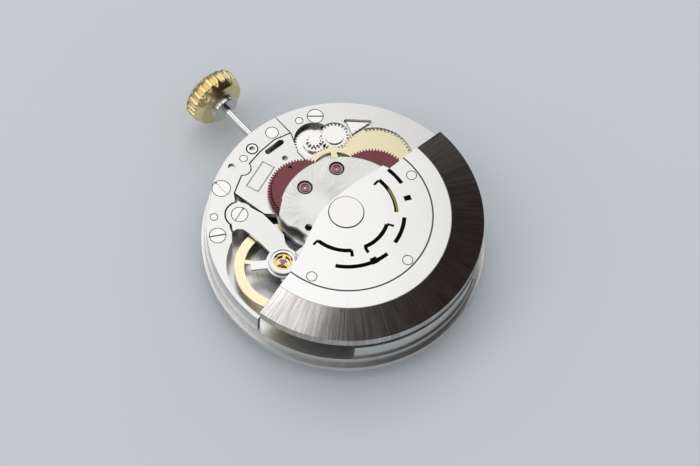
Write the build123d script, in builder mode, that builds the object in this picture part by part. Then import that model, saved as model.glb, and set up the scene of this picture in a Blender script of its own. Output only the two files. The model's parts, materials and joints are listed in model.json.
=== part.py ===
from build123d import *
from dataclasses import dataclass
from math import atan2, cos, degrees, hypot, pi, radians, sin, sqrt
import os

# A self-winding mechanical watch movement, lying dial side down with its rotor on top.
# Origin: centre of the dial seat. +Z points to the rotor side, +Y to 12 o'clock and -X along
# the winding stem to the crown at 3 o'clock. All lengths are in millimetres.

# Outline of the movement
casing_radius = 14.25
casing_flange_height = 0.7
body_radius = 13.9
bridge_radius = 13.7
overrun = 0.5

# Clearances
fit_gap = 0.01
running_gap = 0.02
seat_gap = 0.03
level_gap = 0.1
wide_gap = 0.15

# Levels of the plate, counted from the dial seat
date_recess_depth = 0.55
motion_recess_depth = 0.9
web_top = 1.6
plate_top = 2.0

# Thicknesses of the going train
thin_wheel = 0.12
centre_wheel_thickness = 0.15
escape_thickness = 0.15
barrel_tooth_height = 0.33
train_bridge_thickness = 0.3
balance_rim_height = 0.4

# Levels of the going train
centre_level = web_top + level_gap
escape_level = centre_level + centre_wheel_thickness + level_gap
fourth_level = plate_top + 2 * level_gap
third_level = fourth_level + thin_wheel + level_gap + running_gap
train_bridge_level = third_level + thin_wheel + level_gap + seat_gap
train_bridge_top = train_bridge_level + train_bridge_thickness
balance_level = train_bridge_top + level_gap
balance_top = balance_level + balance_rim_height

# Levels of the winding train and the bridges
drum_top = 3.1
bridge_level = drum_top + level_gap
crown_wheel_thickness = 0.25
lower_bridge_level = 3.55
recess_floor = 3.8
bridge_top = 4.15
balance_bridge_level = 3.7
ratchet_thickness = 0.25

# Levels of the self-winding train
reducer_thickness = 0.18
reverser_thickness = 0.16
reducer_level = bridge_top + wide_gap
reverser_a_level = reducer_level + reducer_thickness + level_gap
reverser_b_level = reverser_a_level + reverser_thickness + level_gap
upper_bridge_level = reverser_b_level + reverser_thickness + level_gap
upper_bridge_thickness = 0.4
upper_bridge_top = upper_bridge_level + upper_bridge_thickness
upper_bridge_radius = 6.55
rotor_level = upper_bridge_top + wide_gap
rotor_thickness = 0.3
rotor_top = rotor_level + rotor_thickness
hub_cap_height = 0.1

# Gear proportions, as shares of the module or of the tooth pitch
addendum_share = 0.9
dedendum_share = 1.2
tooth_root_share = 0.6
tooth_pitch_share = 0.44
tooth_tip_share = 0.2

# Gear modules
reverser_module = 0.1
reducer_module = 0.1
ratchet_module = 0.12
winding_module = 0.106
barrel_module = 0.2
centre_module = 0.085
third_module = 0.09
fourth_module = 0.07
minute_module = 0.1
hour_module = 0.096

# Tooth counts of the self-winding and winding trains
rotor_teeth = 28
reverser_teeth = 72
link_teeth = 67
click_pinion_teeth = 15
reducer_teeth = 62
reducer_pinion_teeth = 14
ratchet_teeth = 60
crown_wheel_teeth = 36
idler_teeth = 36
idler_pinion_teeth = 12
upper_idler_teeth = 23

# Tooth counts of the going train
barrel_teeth = 59
centre_pinion_teeth = 18
centre_teeth = 80
third_pinion_teeth = 10
third_teeth = 75
seconds_pinion_teeth = 10
fourth_pinion_teeth = 10
fourth_teeth = 96
escape_pinion_teeth = 8

# Tooth counts of the motion work, the hand setting and the calendar
cannon_teeth = 12
minute_teeth = 36
minute_pinion_teeth = 10
hour_teeth = 40
intermediate_teeth = 20
setting_teeth = 32
date_idler_teeth = 40
date_wheel_teeth = 80

# Arbors and their bearings
pivot_radius = 0.08
arbor_radius = 0.16
seconds_radius = 0.125
centre_tube_radius = 0.29
small_jewel_radius = 0.35
jewel_height = 0.25
jewel_dish_share = 0.6
jewel_sink_share = 0.35
slot_width_share = 0.2
slot_depth_share = 0.55

# Places of the freely placed arbors
reverser_distance = 5.0
reverser_angle = 192.24
crown_wheel_x = -9.1
idler_angle = 87.6
barrel_distance = 7.7
third_angle = -20.0
fourth_angle = -107.0
escape_angle = 167.9
balance_place = (-0.45, -7.75)
pallet_reach = 1.9
fork_reach = 2.3
minute_angle = 160.0
setting_place = (-6.9, 0.0)
date_idler_angle = 60.0
date_wheel_distance = 6.5

# Main plate
channel_radius = 13.45
motion_recess_radius = 8.6
escape_recess_radius = 2.25
centre_recess_radius = 3.65
dial_foot_radius = 0.3
dial_foot_circle = 13.85
dial_foot_depth = 0.6
dial_foot_angles = (62.0, 242.0)
barrel_pocket_depth = 0.06
crown_slot_width = 2.1
crown_slot_floor = 1.5
crown_slot_inner_x = -8.0
crown_slot_outer_x = -11.45

# Winding stem, crown and clutch
stem_level = 2.4
stem_radius = 0.5
stem_neck_radius = 0.28
stem_square = 0.33
stem_inner_x = -8.1
stem_neck_x = -12.1
stem_neck_length = 0.5
stem_outer_x = -20.0
winding_pinion_x = -10.62
winding_pinion_length = 0.58
winding_pinion_radius = 0.76
winding_pinion_hub = 0.62
clutch_length = 1.35
clutch_groove_radius = 0.5
clutch_groove_length = 0.4
clutch_teeth_length = 0.4
clutch_dog_depth = 0.12
pull_travel = 1.0
clutch_travel = 0.6
crown_radius = 3.0
crown_length = 2.6
crown_x = -21.6
crown_flutes = 20
crown_flute_radius = 0.3
crown_collar_radius = 1.55
crown_collar_length = 0.8
crown_dome = 0.55
crown_face_radius = 2.3
crown_bevel_length = 0.9
crown_back_radius = 2.6

# Bridges and their feet
foot_width = 0.8
balance_clear_radius = 5.47
balance_boss_radius = 1.35
balance_boss_place = (-7.28, -7.46)
balance_far_boss_place = (5.65, -8.1)
balance_far_foot_radius = 0.95
balance_setting_radius = 1.4
upper_bridge_foot_radius = 0.85
upper_bridge_feet = ((4.55, 2.7), (4.5, -3.4), (0.6, -4.5))

# Screws and pins on the bridges
screw_head = 0.8
screw_head_height = 0.3
screw_shank = 0.34
case_screw_head = 0.9
pin_radius = 0.38
screw_grip = 0.9
plain_disc_radius = 0.65

# Barrel
barrel_drum_radius = 5.7
barrel_wall = 0.22
barrel_floor = 0.15
barrel_cover_height = 0.14
barrel_arbor_radius = 0.9
barrel_square = 1.0
barrel_pivot_radius = 0.55
spring_thickness = 0.14
spring_pitch = 0.36
spring_turns = 8
ratchet_screw_radius = 1.05

# Balance
balance_outer_radius = 4.7
balance_inner_radius = 3.75
balance_arm_width = 0.42
balance_arm_height = 0.16
balance_hub_radius = 0.62
staff_radius = 0.3
staff_pivot_radius = 0.07
roller_radius = 0.72
roller_height = 0.1
impulse_pin_circle = 0.42
impulse_pin_radius = 0.06
timing_nut_radius = 0.2
timing_nut_height = 0.3
hairspring_pitch = 0.54
hairspring_turns = 4
hairspring_width = 0.08
hairspring_height = 0.12
collet_radius = 0.62
stud_radius = 0.14

# Pallet fork
pallet_span_angle = 31.5
pallet_body_height = 0.12
fork_width = 0.24
fork_mouth = 0.24
fork_horn_length = 0.22
stone_width = 0.18
escape_tip_radius = 1.6
escape_root_radius = 1.32
escape_teeth = 20
club_tooth_shares = ((0.0, 0.0), (1.0, 0.30), (0.94, 0.44), (0.0, 0.30))  # of tooth height and of pitch

# Rotor
rotor_radius = 13.6
rotor_rim_inner = 9.6
rotor_rim_bottom = 4.5
rotor_rim_fall = 0.35
rotor_plate_radius = 8.5
rotor_ring_radius = 10.3
rotor_groove_width = 0.1
rotor_groove_depth = 0.06
hub_cap_radius = 1.71
hub_collar_radius = 1.9
hub_tube_radius = 0.95
rotor_axle_radius = 0.55
rotor_rivet_radius = 0.5
rotor_rivet_circle = 7.8
rotor_rivet_angles = (82.0, 7.6, -67.0)
rotor_groove_angles = (-77.0, 91.0)
rotor_slot_width = 0.4
rotor_hook_width = 0.7
rotor_hub_bottom = 4.5
rotor_slots_shares = (
    (0.759, 80.0, 98.0), (0.580, 50.0, 97.0), (0.671, 14.0, 44.0), (0.488, -17.0, 31.0),
    (0.494, -82.0, -35.0), (0.700, -52.0, 0.0),
)
rotor_hooks_shares = (
    (0.530, 95.5, 98.5), (0.740, 62.0, 67.0), (0.530, 30.0, 33.0), (0.530, -18.0, -14.0),
    (0.530, -37.0, -33.0), (0.530, -84.5, -81.5), (0.690, -18.0, -11.0),
)

# Calendar
date_ring_outer = 13.3
date_ring_inner = 10.9
date_ring_root = 11.3
date_ring_level = 0.22
date_ring_thickness = 0.28
date_ring_teeth = 31
calendar_plate_radius = 11.55
calendar_plate_thickness = 0.18
calendar_centre_hole = 1.35
calendar_gear_level = 0.27
calendar_gear_thickness = 0.2
date_finger_reach = 4.22
date_tooth_root_share = 0.32
date_tooth_tip_share = 0.12
date_spoke = 0.64
jumper_width = 0.5
date_hub_radius = 0.8
date_finger_turn = 20.0
date_finger_width = 0.4
jumper_pivot = (-3.6, -9.0)
jumper_tip = (-7.6, -7.55)
calendar_post_radius = 0.7
calendar_screw_depth = 0.85
calendar_screw_shank = 0.25

# Motion work and the seats of the hands
motion_gear_level = 0.6
motion_gear_thickness = 0.18
cannon_radius = 0.45
cannon_body_radius = 0.605
seconds_bush_radius = 0.28
seconds_bush_length = 0.55
cannon_bottom = -1.5
hour_pipe_radius = 0.76
hour_pipe_bottom = -1.1

# Keyless works
keyless_recess_radius = 13.42
keyless_recess_angles = (150.0, 204.0)
lever_level = 0.6
lever_thickness = 0.2
lever_pivot_y = 3.0
lever_width = 0.5
lever_head_radius = 0.4
lever_pin_radius = 0.14
lever_slot_width = 0.5
lever_slot_play = 0.3
yoke_pivot_y = -2.8
stud_post_radius = 0.2
stud_bottom = 0.24
setting_wheel_level = 1.3
setting_wheel_thickness = 0.28
setting_arbor_radius = 0.3
lever_spring_foot = (-9.2, 4.4)
lever_spring_foot_radius = 0.6
lever_spring_length = 3.3
lever_spring_width = 0.25
lever_spring_turn = -136.0
clutch_outer_x = winding_pinion_x + clutch_dog_depth + seat_gap
clutch_inner_x = clutch_outer_x + clutch_length
clutch_groove_x = clutch_outer_x + clutch_length / 2
lever_pivot = (stem_neck_x - pull_travel / 2, lever_pivot_y)
yoke_pivot = (clutch_groove_x + clutch_travel / 2, yoke_pivot_y)

# Feet, wells and fittings of the bridges
train_foot_inner = 10.3
train_foot_angles = (-38.0, 22.0)
barrel_foot_angles = ((26.0, 93.0), (137.0, 168.0))
screw_foot_radius = 1.1
well_gap = 0.04
idler_core_radius = 0.45
click_pivot = (-7.5, 8.35)
click_core_radius = 0.25
side_tube_radius = 0.6
side_tube_bore = 0.27
side_hole_radius = 0.35
side_lobe_radius = 0.78
lower_post_radius = 0.5
crown_core_radius = 0.55
crown_hole_radius = 0.3
pinion_window_length = 2.3
pinion_window_width = 0.6
axle_flange_radius = 0.85
axle_flange_height = 0.3
setting_ring_radius = 0.75
setting_groove = 0.1
upper_bridge_hole = (-1.3, -3.73)
setting_top = 4.75
shock_seat_depth = 0.3
shock_ring_radius = 1.2
shock_bore_radius = 0.96
cap_jewel_radius = 0.42
cap_jewel_height = 0.2
cap_round_share = 0.4
shock_spring_radius = 0.94
shock_spring_width = 0.22
shock_spring_height = 0.08
shock_tongue_share = 0.6
shock_tongues = 3
shock_tongue_width = 0.3
shock_gap_width = 0.3
stud_ring_width = 0.25
stud_arm_width = 0.9
stud_arm_height = 0.25
stud_arm_overhang = 0.3
stud_angle = -123.0
hairspring_outer_radius = collet_radius + hairspring_width + hairspring_pitch * hairspring_turns
hairspring_level = balance_top - 2 * hairspring_width
stud_place = (
    balance_place[0] + hairspring_outer_radius * cos(radians(stud_angle)),
    balance_place[1] + hairspring_outer_radius * sin(radians(stud_angle)),
)
pallet_bridge_thickness = 0.22
pallet_bridge_level = third_level - running_gap
pallet_bridge_foot = (-4.5, -5.2)
pallet_foot_radius = 0.55
screw_turns = (50.0, 20.0, 75.0, 10.0, 130.0, 60.0, -70.0, 35.0)
case_screw_turn = 0.0

# Arbors, hubs and spokes of the going train
pivot_length = 0.18
pinion_margin = 0.04
wheel_rim = 0.32
wheel_spoke = 0.32
wheel_spokes = 4
centre_spokes = 5
train_hub_radius = 0.48
centre_hub_radius = 0.95
centre_arbor_bottom = -0.9
seconds_bottom = -1.9
spring_height = 0.6
ratchet_screw_shank = 0.3
escape_rim = 0.16
escape_hub_radius = 0.4
escape_spoke = 0.16
escape_spokes = 4
escape_arbor_radius = 0.12
pallet_hub_radius = 0.28
stone_stand_off = 0.22
balance_nut_circle = 4.22
timing_nuts = 4
balance_arm_turn = 40.0
staff_waist_radius = 0.16
roller_gap = 0.08

# Winding train, click and clutch teeth
ratchet_screw_height = 0.22
ratchet_screw_turn = 25.0
idler_collar_radius = 1.15
idler_cap_radius = 0.95
idler_cap_top = 4.25
click_corners = ((-8.48, 7.76), (-6.85, 9.51), (-7.0, 7.26))
click_teeth = 4
click_tooth_depth = 0.14
click_tooth_share = 0.75
click_sweep = 0.25
tooth_width_share = 0.5
winding_pinion_teeth = 18
dog_circle = 0.57
dog_count = 8
dog_width = 0.1

# Wheels of the self-winding work
reverser_holes = 3
reverser_hole_radius = 0.22
reverser_hole_circle = 2.85
reverser_hole_turn = 169.0
link_bore_radius = 0.6
reducer_rim = 0.5
reducer_spoke = 0.6
reducer_spokes = 5


@dataclass
class Gear:
    teeth: int
    module: float
    place: tuple = (0.0, 0.0)
    phase: float = 0.0

    @property
    def radius(self):
        return self.teeth * self.module / 2

    @property
    def tip(self):
        return self.radius + addendum_share * self.module

    @property
    def root(self):
        return self.radius - dedendum_share * self.module


def polar(radius, angle, centre=(0.0, 0.0)):
    return (centre[0] + radius * cos(radians(angle)), centre[1] + radius * sin(radians(angle)))


def apart(one, other):
    return hypot(other[0] - one[0], other[1] - one[1])


def heading(one, other):
    return degrees(atan2(other[1] - one[1], other[0] - one[0]))


def meeting(one, one_reach, other, other_reach, left):
    """The point at given distances from two places, to the left or right of the line between them."""
    span = apart(one, other)
    along = (one_reach**2 - other_reach**2 + span**2) / (2 * span)
    aside = sqrt(one_reach**2 - along**2) * (1 if left else -1)
    line = heading(one, other)
    return polar(aside, line + 90, polar(along, line, one))


def centres(teeth, module):
    """Distance between two meshing gears that hold this many teeth together."""
    return teeth * module / 2


def driven(driver, teeth, place):
    """A gear of the driver's module at a place, turned so that its gap meets the driver's tooth."""
    line = heading(driver.place, place)
    share = ((line - driver.phase) / (360 / driver.teeth)) % 1
    return Gear(teeth, driver.module, place, line + 180 - (0.5 - share) * 360 / teeth)


# Self-winding train
rotor_gear = Gear(rotor_teeth, reverser_module)
reverser_a = driven(rotor_gear, reverser_teeth, polar(reverser_distance, reverser_angle))
link_gear = Gear(link_teeth, reverser_module, reverser_a.place)
link_reach = centres(link_teeth + reverser_teeth, reverser_module)
reverser_b_place = meeting(rotor_gear.place, reverser_distance, reverser_a.place, link_reach, False)
reverser_b = driven(link_gear, reverser_teeth, reverser_b_place)
reducer_reach = centres(reducer_teeth + click_pinion_teeth, reducer_module)
reducer_place = meeting(reverser_a.place, reducer_reach, reverser_b_place, reducer_reach, True)
click_pinion_a = Gear(click_pinion_teeth, reducer_module, reverser_a.place)
reducer_gear = driven(click_pinion_a, reducer_teeth, reducer_place)
click_pinion_b = driven(reducer_gear, click_pinion_teeth, reverser_b_place)

# Barrel and hand-winding train
ratchet_reach = centres(ratchet_teeth + reducer_pinion_teeth, ratchet_module)
barrel_place = meeting((0.0, 0.0), barrel_distance, reducer_place, ratchet_reach, False)
crown_gear = Gear(crown_wheel_teeth, winding_module, (crown_wheel_x, 0.0))
idler_place = polar(centres(crown_wheel_teeth + idler_teeth, winding_module), idler_angle, crown_gear.place)
idler_gear = driven(crown_gear, idler_teeth, idler_place)
idler_pinion = Gear(idler_pinion_teeth, ratchet_module, idler_place)
idler_reach = centres(idler_pinion_teeth + upper_idler_teeth, ratchet_module)
upper_idler_reach = centres(ratchet_teeth + upper_idler_teeth, ratchet_module)
upper_idler_place = meeting(idler_place, idler_reach, barrel_place, upper_idler_reach, True)
upper_idler = driven(idler_pinion, upper_idler_teeth, upper_idler_place)
ratchet_gear = driven(upper_idler, ratchet_teeth, barrel_place)
reducer_pinion = driven(ratchet_gear, reducer_pinion_teeth, reducer_place)

# Going train
barrel_gear = Gear(barrel_teeth, barrel_module, barrel_place)
centre_pinion = driven(barrel_gear, centre_pinion_teeth, (0.0, 0.0))
centre_gear = Gear(centre_teeth, centre_module)
third_place = polar(centres(centre_teeth + third_pinion_teeth, centre_module), third_angle)
third_pinion = driven(centre_gear, third_pinion_teeth, third_place)
third_gear = Gear(third_teeth, third_module, third_place)
seconds_pinion = driven(third_gear, seconds_pinion_teeth, (0.0, 0.0))
fourth_reach = centres(third_teeth + fourth_pinion_teeth, third_module)
fourth_place = polar(fourth_reach, fourth_angle, third_place)
fourth_pinion = driven(third_gear, fourth_pinion_teeth, fourth_place)
fourth_gear = Gear(fourth_teeth, fourth_module, fourth_place)
escape_reach = centres(fourth_teeth + escape_pinion_teeth, fourth_module)
escape_place = polar(escape_reach, escape_angle, fourth_place)
escape_pinion = driven(fourth_gear, escape_pinion_teeth, escape_place)
pallet_place = meeting(escape_place, pallet_reach, balance_place, fork_reach, False)
fork_line = heading(pallet_place, balance_place)

# Motion work, hand setting and calendar trains under the plate
cannon_gear = Gear(cannon_teeth, minute_module)
minute_place = polar(centres(cannon_teeth + minute_teeth, minute_module), minute_angle)
minute_gear = driven(cannon_gear, minute_teeth, minute_place)
minute_pinion = Gear(minute_pinion_teeth, hour_module, minute_place)
hour_gear = driven(minute_pinion, hour_teeth, (0.0, 0.0))
minute_reach = centres(minute_teeth + intermediate_teeth, minute_module)
setting_reach = centres(intermediate_teeth + setting_teeth, minute_module)
intermediate_place = meeting(minute_place, minute_reach, setting_place, setting_reach, False)
intermediate_gear = driven(minute_gear, intermediate_teeth, intermediate_place)
setting_gear = driven(intermediate_gear, setting_teeth, setting_place)
date_idler_place = polar(centres(hour_teeth + date_idler_teeth, hour_module), date_idler_angle)
date_idler = driven(hour_gear, date_idler_teeth, date_idler_place)
date_reach = centres(date_idler_teeth + date_wheel_teeth, hour_module)
date_wheel_place = meeting((0.0, 0.0), date_wheel_distance, date_idler_place, date_reach, False)
date_gear = driven(date_idler, date_wheel_teeth, date_wheel_place)


def at(place, height):
    return Plane(origin=(place[0], place[1], height))


def placed(share):
    """A point written as a share of the bridge radius, as a point in millimetres."""
    return (share[0] * bridge_radius, share[1] * bridge_radius)


def sized(shares):
    return [placed(share) for share in shares]


def tooth_points(gear):
    pitch = 360 / gear.teeth
    rows = (
        (gear.root, -tooth_root_share),
        (gear.radius, -tooth_pitch_share),
        (gear.tip, -tooth_tip_share),
        (gear.tip, tooth_tip_share),
        (gear.radius, tooth_pitch_share),
        (gear.root, tooth_root_share),
    )
    return [
        polar(radius, gear.phase + pitch * (n + share / 2))
        for n in range(gear.teeth)
        for radius, share in rows
    ]


def teeth_face(gear):
    with BuildLine() as outline:
        Polyline(*tooth_points(gear), close=True)
    make_face(outline.edges())


def solid_gear(gear, bottom, height, bore=0.0):
    """A plain toothed disc, added to the part that is being built."""
    with BuildSketch(at(gear.place, bottom)) as profile:
        teeth_face(gear)
        if bore:
            Circle(bore, mode=Mode.SUBTRACT)
    extrude(profile.sketch, amount=height)


def spoked_gear(gear, bottom, height, rim, hub, spoke, spokes, bore=0.0):
    """A toothed wheel with a thin rim, a hub and straight spokes, added to the part being built."""
    inner = gear.root - rim
    with BuildSketch(at(gear.place, bottom)) as profile:
        teeth_face(gear)
        Circle(inner, mode=Mode.SUBTRACT)
        Circle(hub)
        with PolarLocations((inner + rim / 2) / 2, spokes):
            Rectangle(inner + rim / 2, spoke)
        if bore:
            Circle(bore, mode=Mode.SUBTRACT)
    extrude(profile.sketch, amount=height)


def post(place, bottom, top, radius, bore=0.0, mode=Mode.ADD):
    """A round post or tube between two levels, added to the part that is being built."""
    with BuildSketch(at(place, bottom)) as profile:
        Circle(radius)
        if bore:
            Circle(bore, mode=Mode.SUBTRACT)
    extrude(profile.sketch, amount=top - bottom, mode=mode)


def pocket(place, bottom, top, radius):
    post(place, bottom, top, radius, mode=Mode.SUBTRACT)


def slab(shares, bottom, top, mode=Mode.ADD):
    """A flat piece inside the bridge circle, with its outline written as shares of its radius."""
    with BuildSketch(Plane.XY.offset(bottom)) as profile:
        Circle(bridge_radius)
        with BuildLine() as outline:
            Polyline(*sized(shares), close=True)
        make_face(outline.edges(), mode=Mode.INTERSECT)
    extrude(profile.sketch, amount=top - bottom, mode=mode)


def sector(inner, outer, start, end, bottom, top, mode=Mode.ADD):
    """A piece of a flat ring between two angles."""
    with BuildSketch(Plane.XY.offset(bottom)) as profile:
        with BuildLine() as outline:
            Line(polar(inner, start), polar(outer, start))
            CenterArc((0, 0), outer, start, end - start)
            Line(polar(outer, end), polar(inner, end))
            CenterArc((0, 0), inner, start, end - start)
        make_face(outline.edges())
    extrude(profile.sketch, amount=top - bottom, mode=mode)


def jewel(place, bottom, top, radius, hole):
    """A ring-shaped bearing stone with an oil sink in its upper face."""
    post(place, bottom, top, radius, bore=hole)
    sink = (top - bottom) * jewel_sink_share
    pocket(place, top - sink, top, radius * jewel_dish_share)


def slotted_screw(place, head_top, head, head_height, shank, shank_end, slot_turn):
    """A slotted screw: head, shank and one sawn slot."""
    post(place, head_top - head_height, head_top, head)
    post(place, shank_end, head_top - head_height, shank)
    with BuildSketch(at(place, head_top)) as slot:
        Rectangle(2 * head + overrun, head * slot_width_share, rotation=slot_turn)
    extrude(slot.sketch, amount=-head_height * slot_depth_share, mode=Mode.SUBTRACT)


def screw_seat(place, head_top, head, head_height, shank, shank_end):
    """The sunk seat and the hole that a slotted screw needs in a bridge or plate."""
    pocket(place, head_top - head_height, head_top + overrun, head + seat_gap)
    pocket(place, shank_end, head_top, shank)


def save(part, name):
    part.label = name
    export_step(part, f"parts/{name}.step")


os.makedirs("parts", exist_ok=True)

# Outlines seen from the rotor side, as shares of the bridge radius
barrel_bridge_shares = (
    (-1.02, 0.190), (-0.807, 0.188), (-0.692, 0.142), (-0.650, 0.119), (-0.240, 0.119), (-0.166, 0.168),
    (0.175, 0.256), (0.606, 0.256), (0.960, 0.395), (1.02, 1.02), (-1.02, 1.02),
)
lower_bridge_shares = (
    (-0.806, 0.180), (-0.839, 0.052), (-0.828, -0.095), (-0.799, -0.225), (-0.766, -0.319),
    (-0.688, -0.455), (-0.422, -0.404), (-0.365, -0.346), (-0.248, -0.394), (-0.088, -0.380),
    (0.022, -0.336), (0.219, -0.360), (0.438, -0.336), (0.598, -0.234), (0.598, 0.240), (0.180, 0.240),
    (-0.161, 0.155), (-0.236, 0.110), (-0.652, 0.110), (-0.700, 0.135),
)
side_bridge_shares = (
    (-1.02, 0.182), (-0.815, 0.180), (-0.848, 0.052), (-0.837, -0.095), (-0.808, -0.228),
    (-0.775, -0.322), (-0.694, -0.462), (-0.628, -0.505), (-0.505, -0.662), (-0.452, -0.683),
    (-0.250, -0.850), (-0.060, -0.968), (0.060, -0.969), (0.175, -0.955), (0.190, -1.02), (-1.02, -1.02),
)
train_bridge_shares = (
    (-0.219, -0.197), (-0.110, 0.073), (0.095, 0.117), (0.438, 0.292), (0.985, 0.292), (0.985, -0.584),
    (0.650, -0.511), (0.340, -0.445), (0.183, -0.460), (0.073, -0.394), (-0.110, -0.380), (-0.175, -0.336),
)
balance_bridge_shares = (
    (-0.628, -0.482), (-0.423, -0.414), (-0.204, -0.409), (-0.146, -0.445), (0.044, -0.467),
    (0.365, -0.518), (0.474, -0.555), (0.474, -0.635), (0.350, -0.672), (0.073, -0.660),
    (-0.105, -0.606), (-0.159, -0.577), (-0.342, -0.585), (-0.422, -0.603), (-0.451, -0.632),
    (-0.458, -0.670), (-0.540, -0.620),
)
pallet_bridge_shares = (
    (-0.101, -0.400), (-0.094, -0.460), (-0.146, -0.474), (-0.350, -0.438), (-0.394, -0.372),
    (-0.340, -0.328),
)
upper_bridge_cut_shares = (
    (-0.391, -0.265), (-0.307, -0.371), (-0.197, -0.371), (-0.146, -0.338), (-0.047, -0.320),
    (-0.010, -0.365), (-0.010, -0.511), (-0.467, -0.511), (-0.467, -0.265),
)
rotor_shares = (
    (-0.066, 1.02), (-0.066, 0.482), (-0.117, 0.460), (-0.128, 0.321), (-0.141, 0.219), (-0.141, 0.0),
    (-0.133, -0.110), (-0.095, -0.204), (-0.033, -0.336), (0.007, -0.412), (0.099, -0.613),
    (0.200, -1.02), (1.02, -1.02), (1.02, 1.02),
)

# Places on the bridges, as shares of the bridge radius
barrel_bridge_screw_shares = ((-0.801, 0.419), (0.161, 0.898), (0.547, 0.657))
train_bridge_screw_shares = ((0.840, -0.182), (0.803, 0.146))
side_screw_share = (-0.502, -0.774)
case_screw_shares = ((-0.780, -0.508), (0.835, -0.340))
lower_bridge_screw_shares = ((0.504, 0.161), (0.453, -0.234))
lower_bridge_post_shares = ((-0.715, -0.232), (-0.584, -0.390))
steady_pin_shares = ((-0.849, 0.302), (-0.867, -0.223), (-0.634, -0.698))
side_disc_share = (-0.900, 0.080)
side_tube_share = (-0.889, -0.121)
side_hole_share = (-0.871, -0.333)
side_lobe_share = (-0.8085, -0.2794)
pinion_window_share = (-0.796, 0.015)
crown_wheel_hole_share = (-0.674, 0.010)
calendar_post_shares = ((-0.122, 0.690), (0.350, -0.606), (-0.594, -0.372))

# Main plate: a flange with the dial seat, recesses on both sides and the bearings of every arbor
bearing_sites = (
    (third_place, web_top),
    (fourth_place, plate_top),
    (escape_place, escape_level - level_gap),
    (pallet_place, escape_level - level_gap),
    (balance_place, escape_level - level_gap),
)
with BuildPart() as main_plate:
    post((0.0, 0.0), 0, casing_flange_height, casing_radius)
    post((0.0, 0.0), casing_flange_height, plate_top, body_radius)
    pocket((0.0, 0.0), 0, date_recess_depth, channel_radius)
    pocket((0.0, 0.0), date_recess_depth, motion_recess_depth, motion_recess_radius)
    sector(
        motion_recess_radius - overrun, keyless_recess_radius, *keyless_recess_angles,
        date_recess_depth, motion_recess_depth, mode=Mode.SUBTRACT,
    )
    pocket((0.0, 0.0), web_top, plate_top, centre_recess_radius)
    pocket(third_place, web_top, plate_top, third_pinion.tip + level_gap)
    pocket(escape_place, escape_level - level_gap, plate_top, escape_recess_radius)
    pocket(balance_place, escape_level - level_gap, plate_top, small_jewel_radius + level_gap)
    pocket(pallet_place, escape_level - level_gap, plate_top, small_jewel_radius + level_gap)
    pocket(barrel_place, plate_top - barrel_pocket_depth, plate_top, barrel_gear.tip + wide_gap)
    pocket(setting_place, setting_wheel_level - running_gap, plate_top, setting_gear.tip + level_gap)
    pocket(setting_place, 0, plate_top, setting_arbor_radius + running_gap)
    with BuildSketch(Plane.XY.offset(crown_slot_floor)):
        with Locations(((crown_slot_inner_x + crown_slot_outer_x) / 2, 0)):
            Rectangle(crown_slot_inner_x - crown_slot_outer_x, crown_slot_width)
    extrude(amount=plate_top - crown_slot_floor, mode=Mode.SUBTRACT)
    with BuildSketch(Plane.YZ.offset(crown_slot_outer_x + fit_gap)):
        with Locations((0, stem_level)):
            Circle(stem_radius + running_gap)
    extrude(amount=crown_slot_outer_x + casing_radius + overrun, dir=(-1, 0, 0), mode=Mode.SUBTRACT)
    with BuildSketch(Plane.XY.offset(motion_recess_depth)):
        with Locations((stem_neck_x - pull_travel / 2, 0)):
            SlotOverall(pull_travel + 2 * lever_pin_radius + lever_slot_play, lever_slot_width)
        with Locations((clutch_groove_x + clutch_travel / 2, 0)):
            SlotOverall(clutch_travel + 2 * lever_pin_radius + lever_slot_play, lever_slot_width)
    extrude(amount=plate_top - motion_recess_depth, mode=Mode.SUBTRACT)
    pocket((0.0, 0.0), motion_recess_depth, web_top, centre_tube_radius + running_gap)
    pocket(barrel_place, motion_recess_depth + jewel_height, plate_top, barrel_pivot_radius + running_gap)
    for place, top in bearing_sites:
        pocket(place, top - jewel_height, top, small_jewel_radius)
        pocket(place, top - jewel_height - level_gap, top, pivot_radius + running_gap)
    for place in sized(calendar_post_shares):
        post(place, calendar_plate_thickness, date_recess_depth, calendar_post_radius)
        pocket(place, 0, calendar_screw_depth, calendar_screw_shank)
    for place in (minute_place, intermediate_place, date_idler_place, date_wheel_place, jumper_pivot):
        post(place, stud_bottom, motion_recess_depth, stud_post_radius)
    for place in (lever_pivot, yoke_pivot):
        post(place, date_recess_depth, motion_recess_depth, stud_post_radius)
    for place in sized(barrel_bridge_screw_shares + train_bridge_screw_shares + (side_screw_share,)):
        pocket(place, plate_top - screw_grip, plate_top, screw_shank)
    for place in sized(case_screw_shares) + [balance_boss_place, balance_far_boss_place]:
        pocket(place, plate_top - screw_grip, plate_top, screw_shank)
    for place in sized(steady_pin_shares):
        pocket(place, plate_top - screw_grip, plate_top, pin_radius)
    for angle in dial_foot_angles:
        pocket(polar(dial_foot_circle, angle), 0, dial_foot_depth, dial_foot_radius)
save(main_plate.part, "main_plate")

# Train bridge, low over the wheels and full height along the rim at 9 o'clock
train_jewel_places = (third_place, fourth_place, escape_place, (0.0, 0.0))
with BuildPart() as train_bridge:
    slab(train_bridge_shares, train_bridge_level, train_bridge_top)
    sector(train_foot_inner, bridge_radius, *train_foot_angles, plate_top, bridge_top)
    for place in train_jewel_places:
        pocket(place, train_bridge_top - jewel_height, train_bridge_top, small_jewel_radius)
        pocket(place, train_bridge_level, train_bridge_top, pivot_radius + running_gap)
    pocket((0.0, 0.0), train_bridge_level, train_bridge_top, seconds_radius + running_gap)
    for place in sized(train_bridge_screw_shares + (case_screw_shares[1],)):
        screw_seat(place, bridge_top, screw_head, screw_head_height, screw_shank, plate_top)
    for place in sized(lower_bridge_screw_shares):
        pocket(place, train_bridge_level, train_bridge_top, screw_shank)
save(train_bridge.part, "train_bridge")

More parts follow.
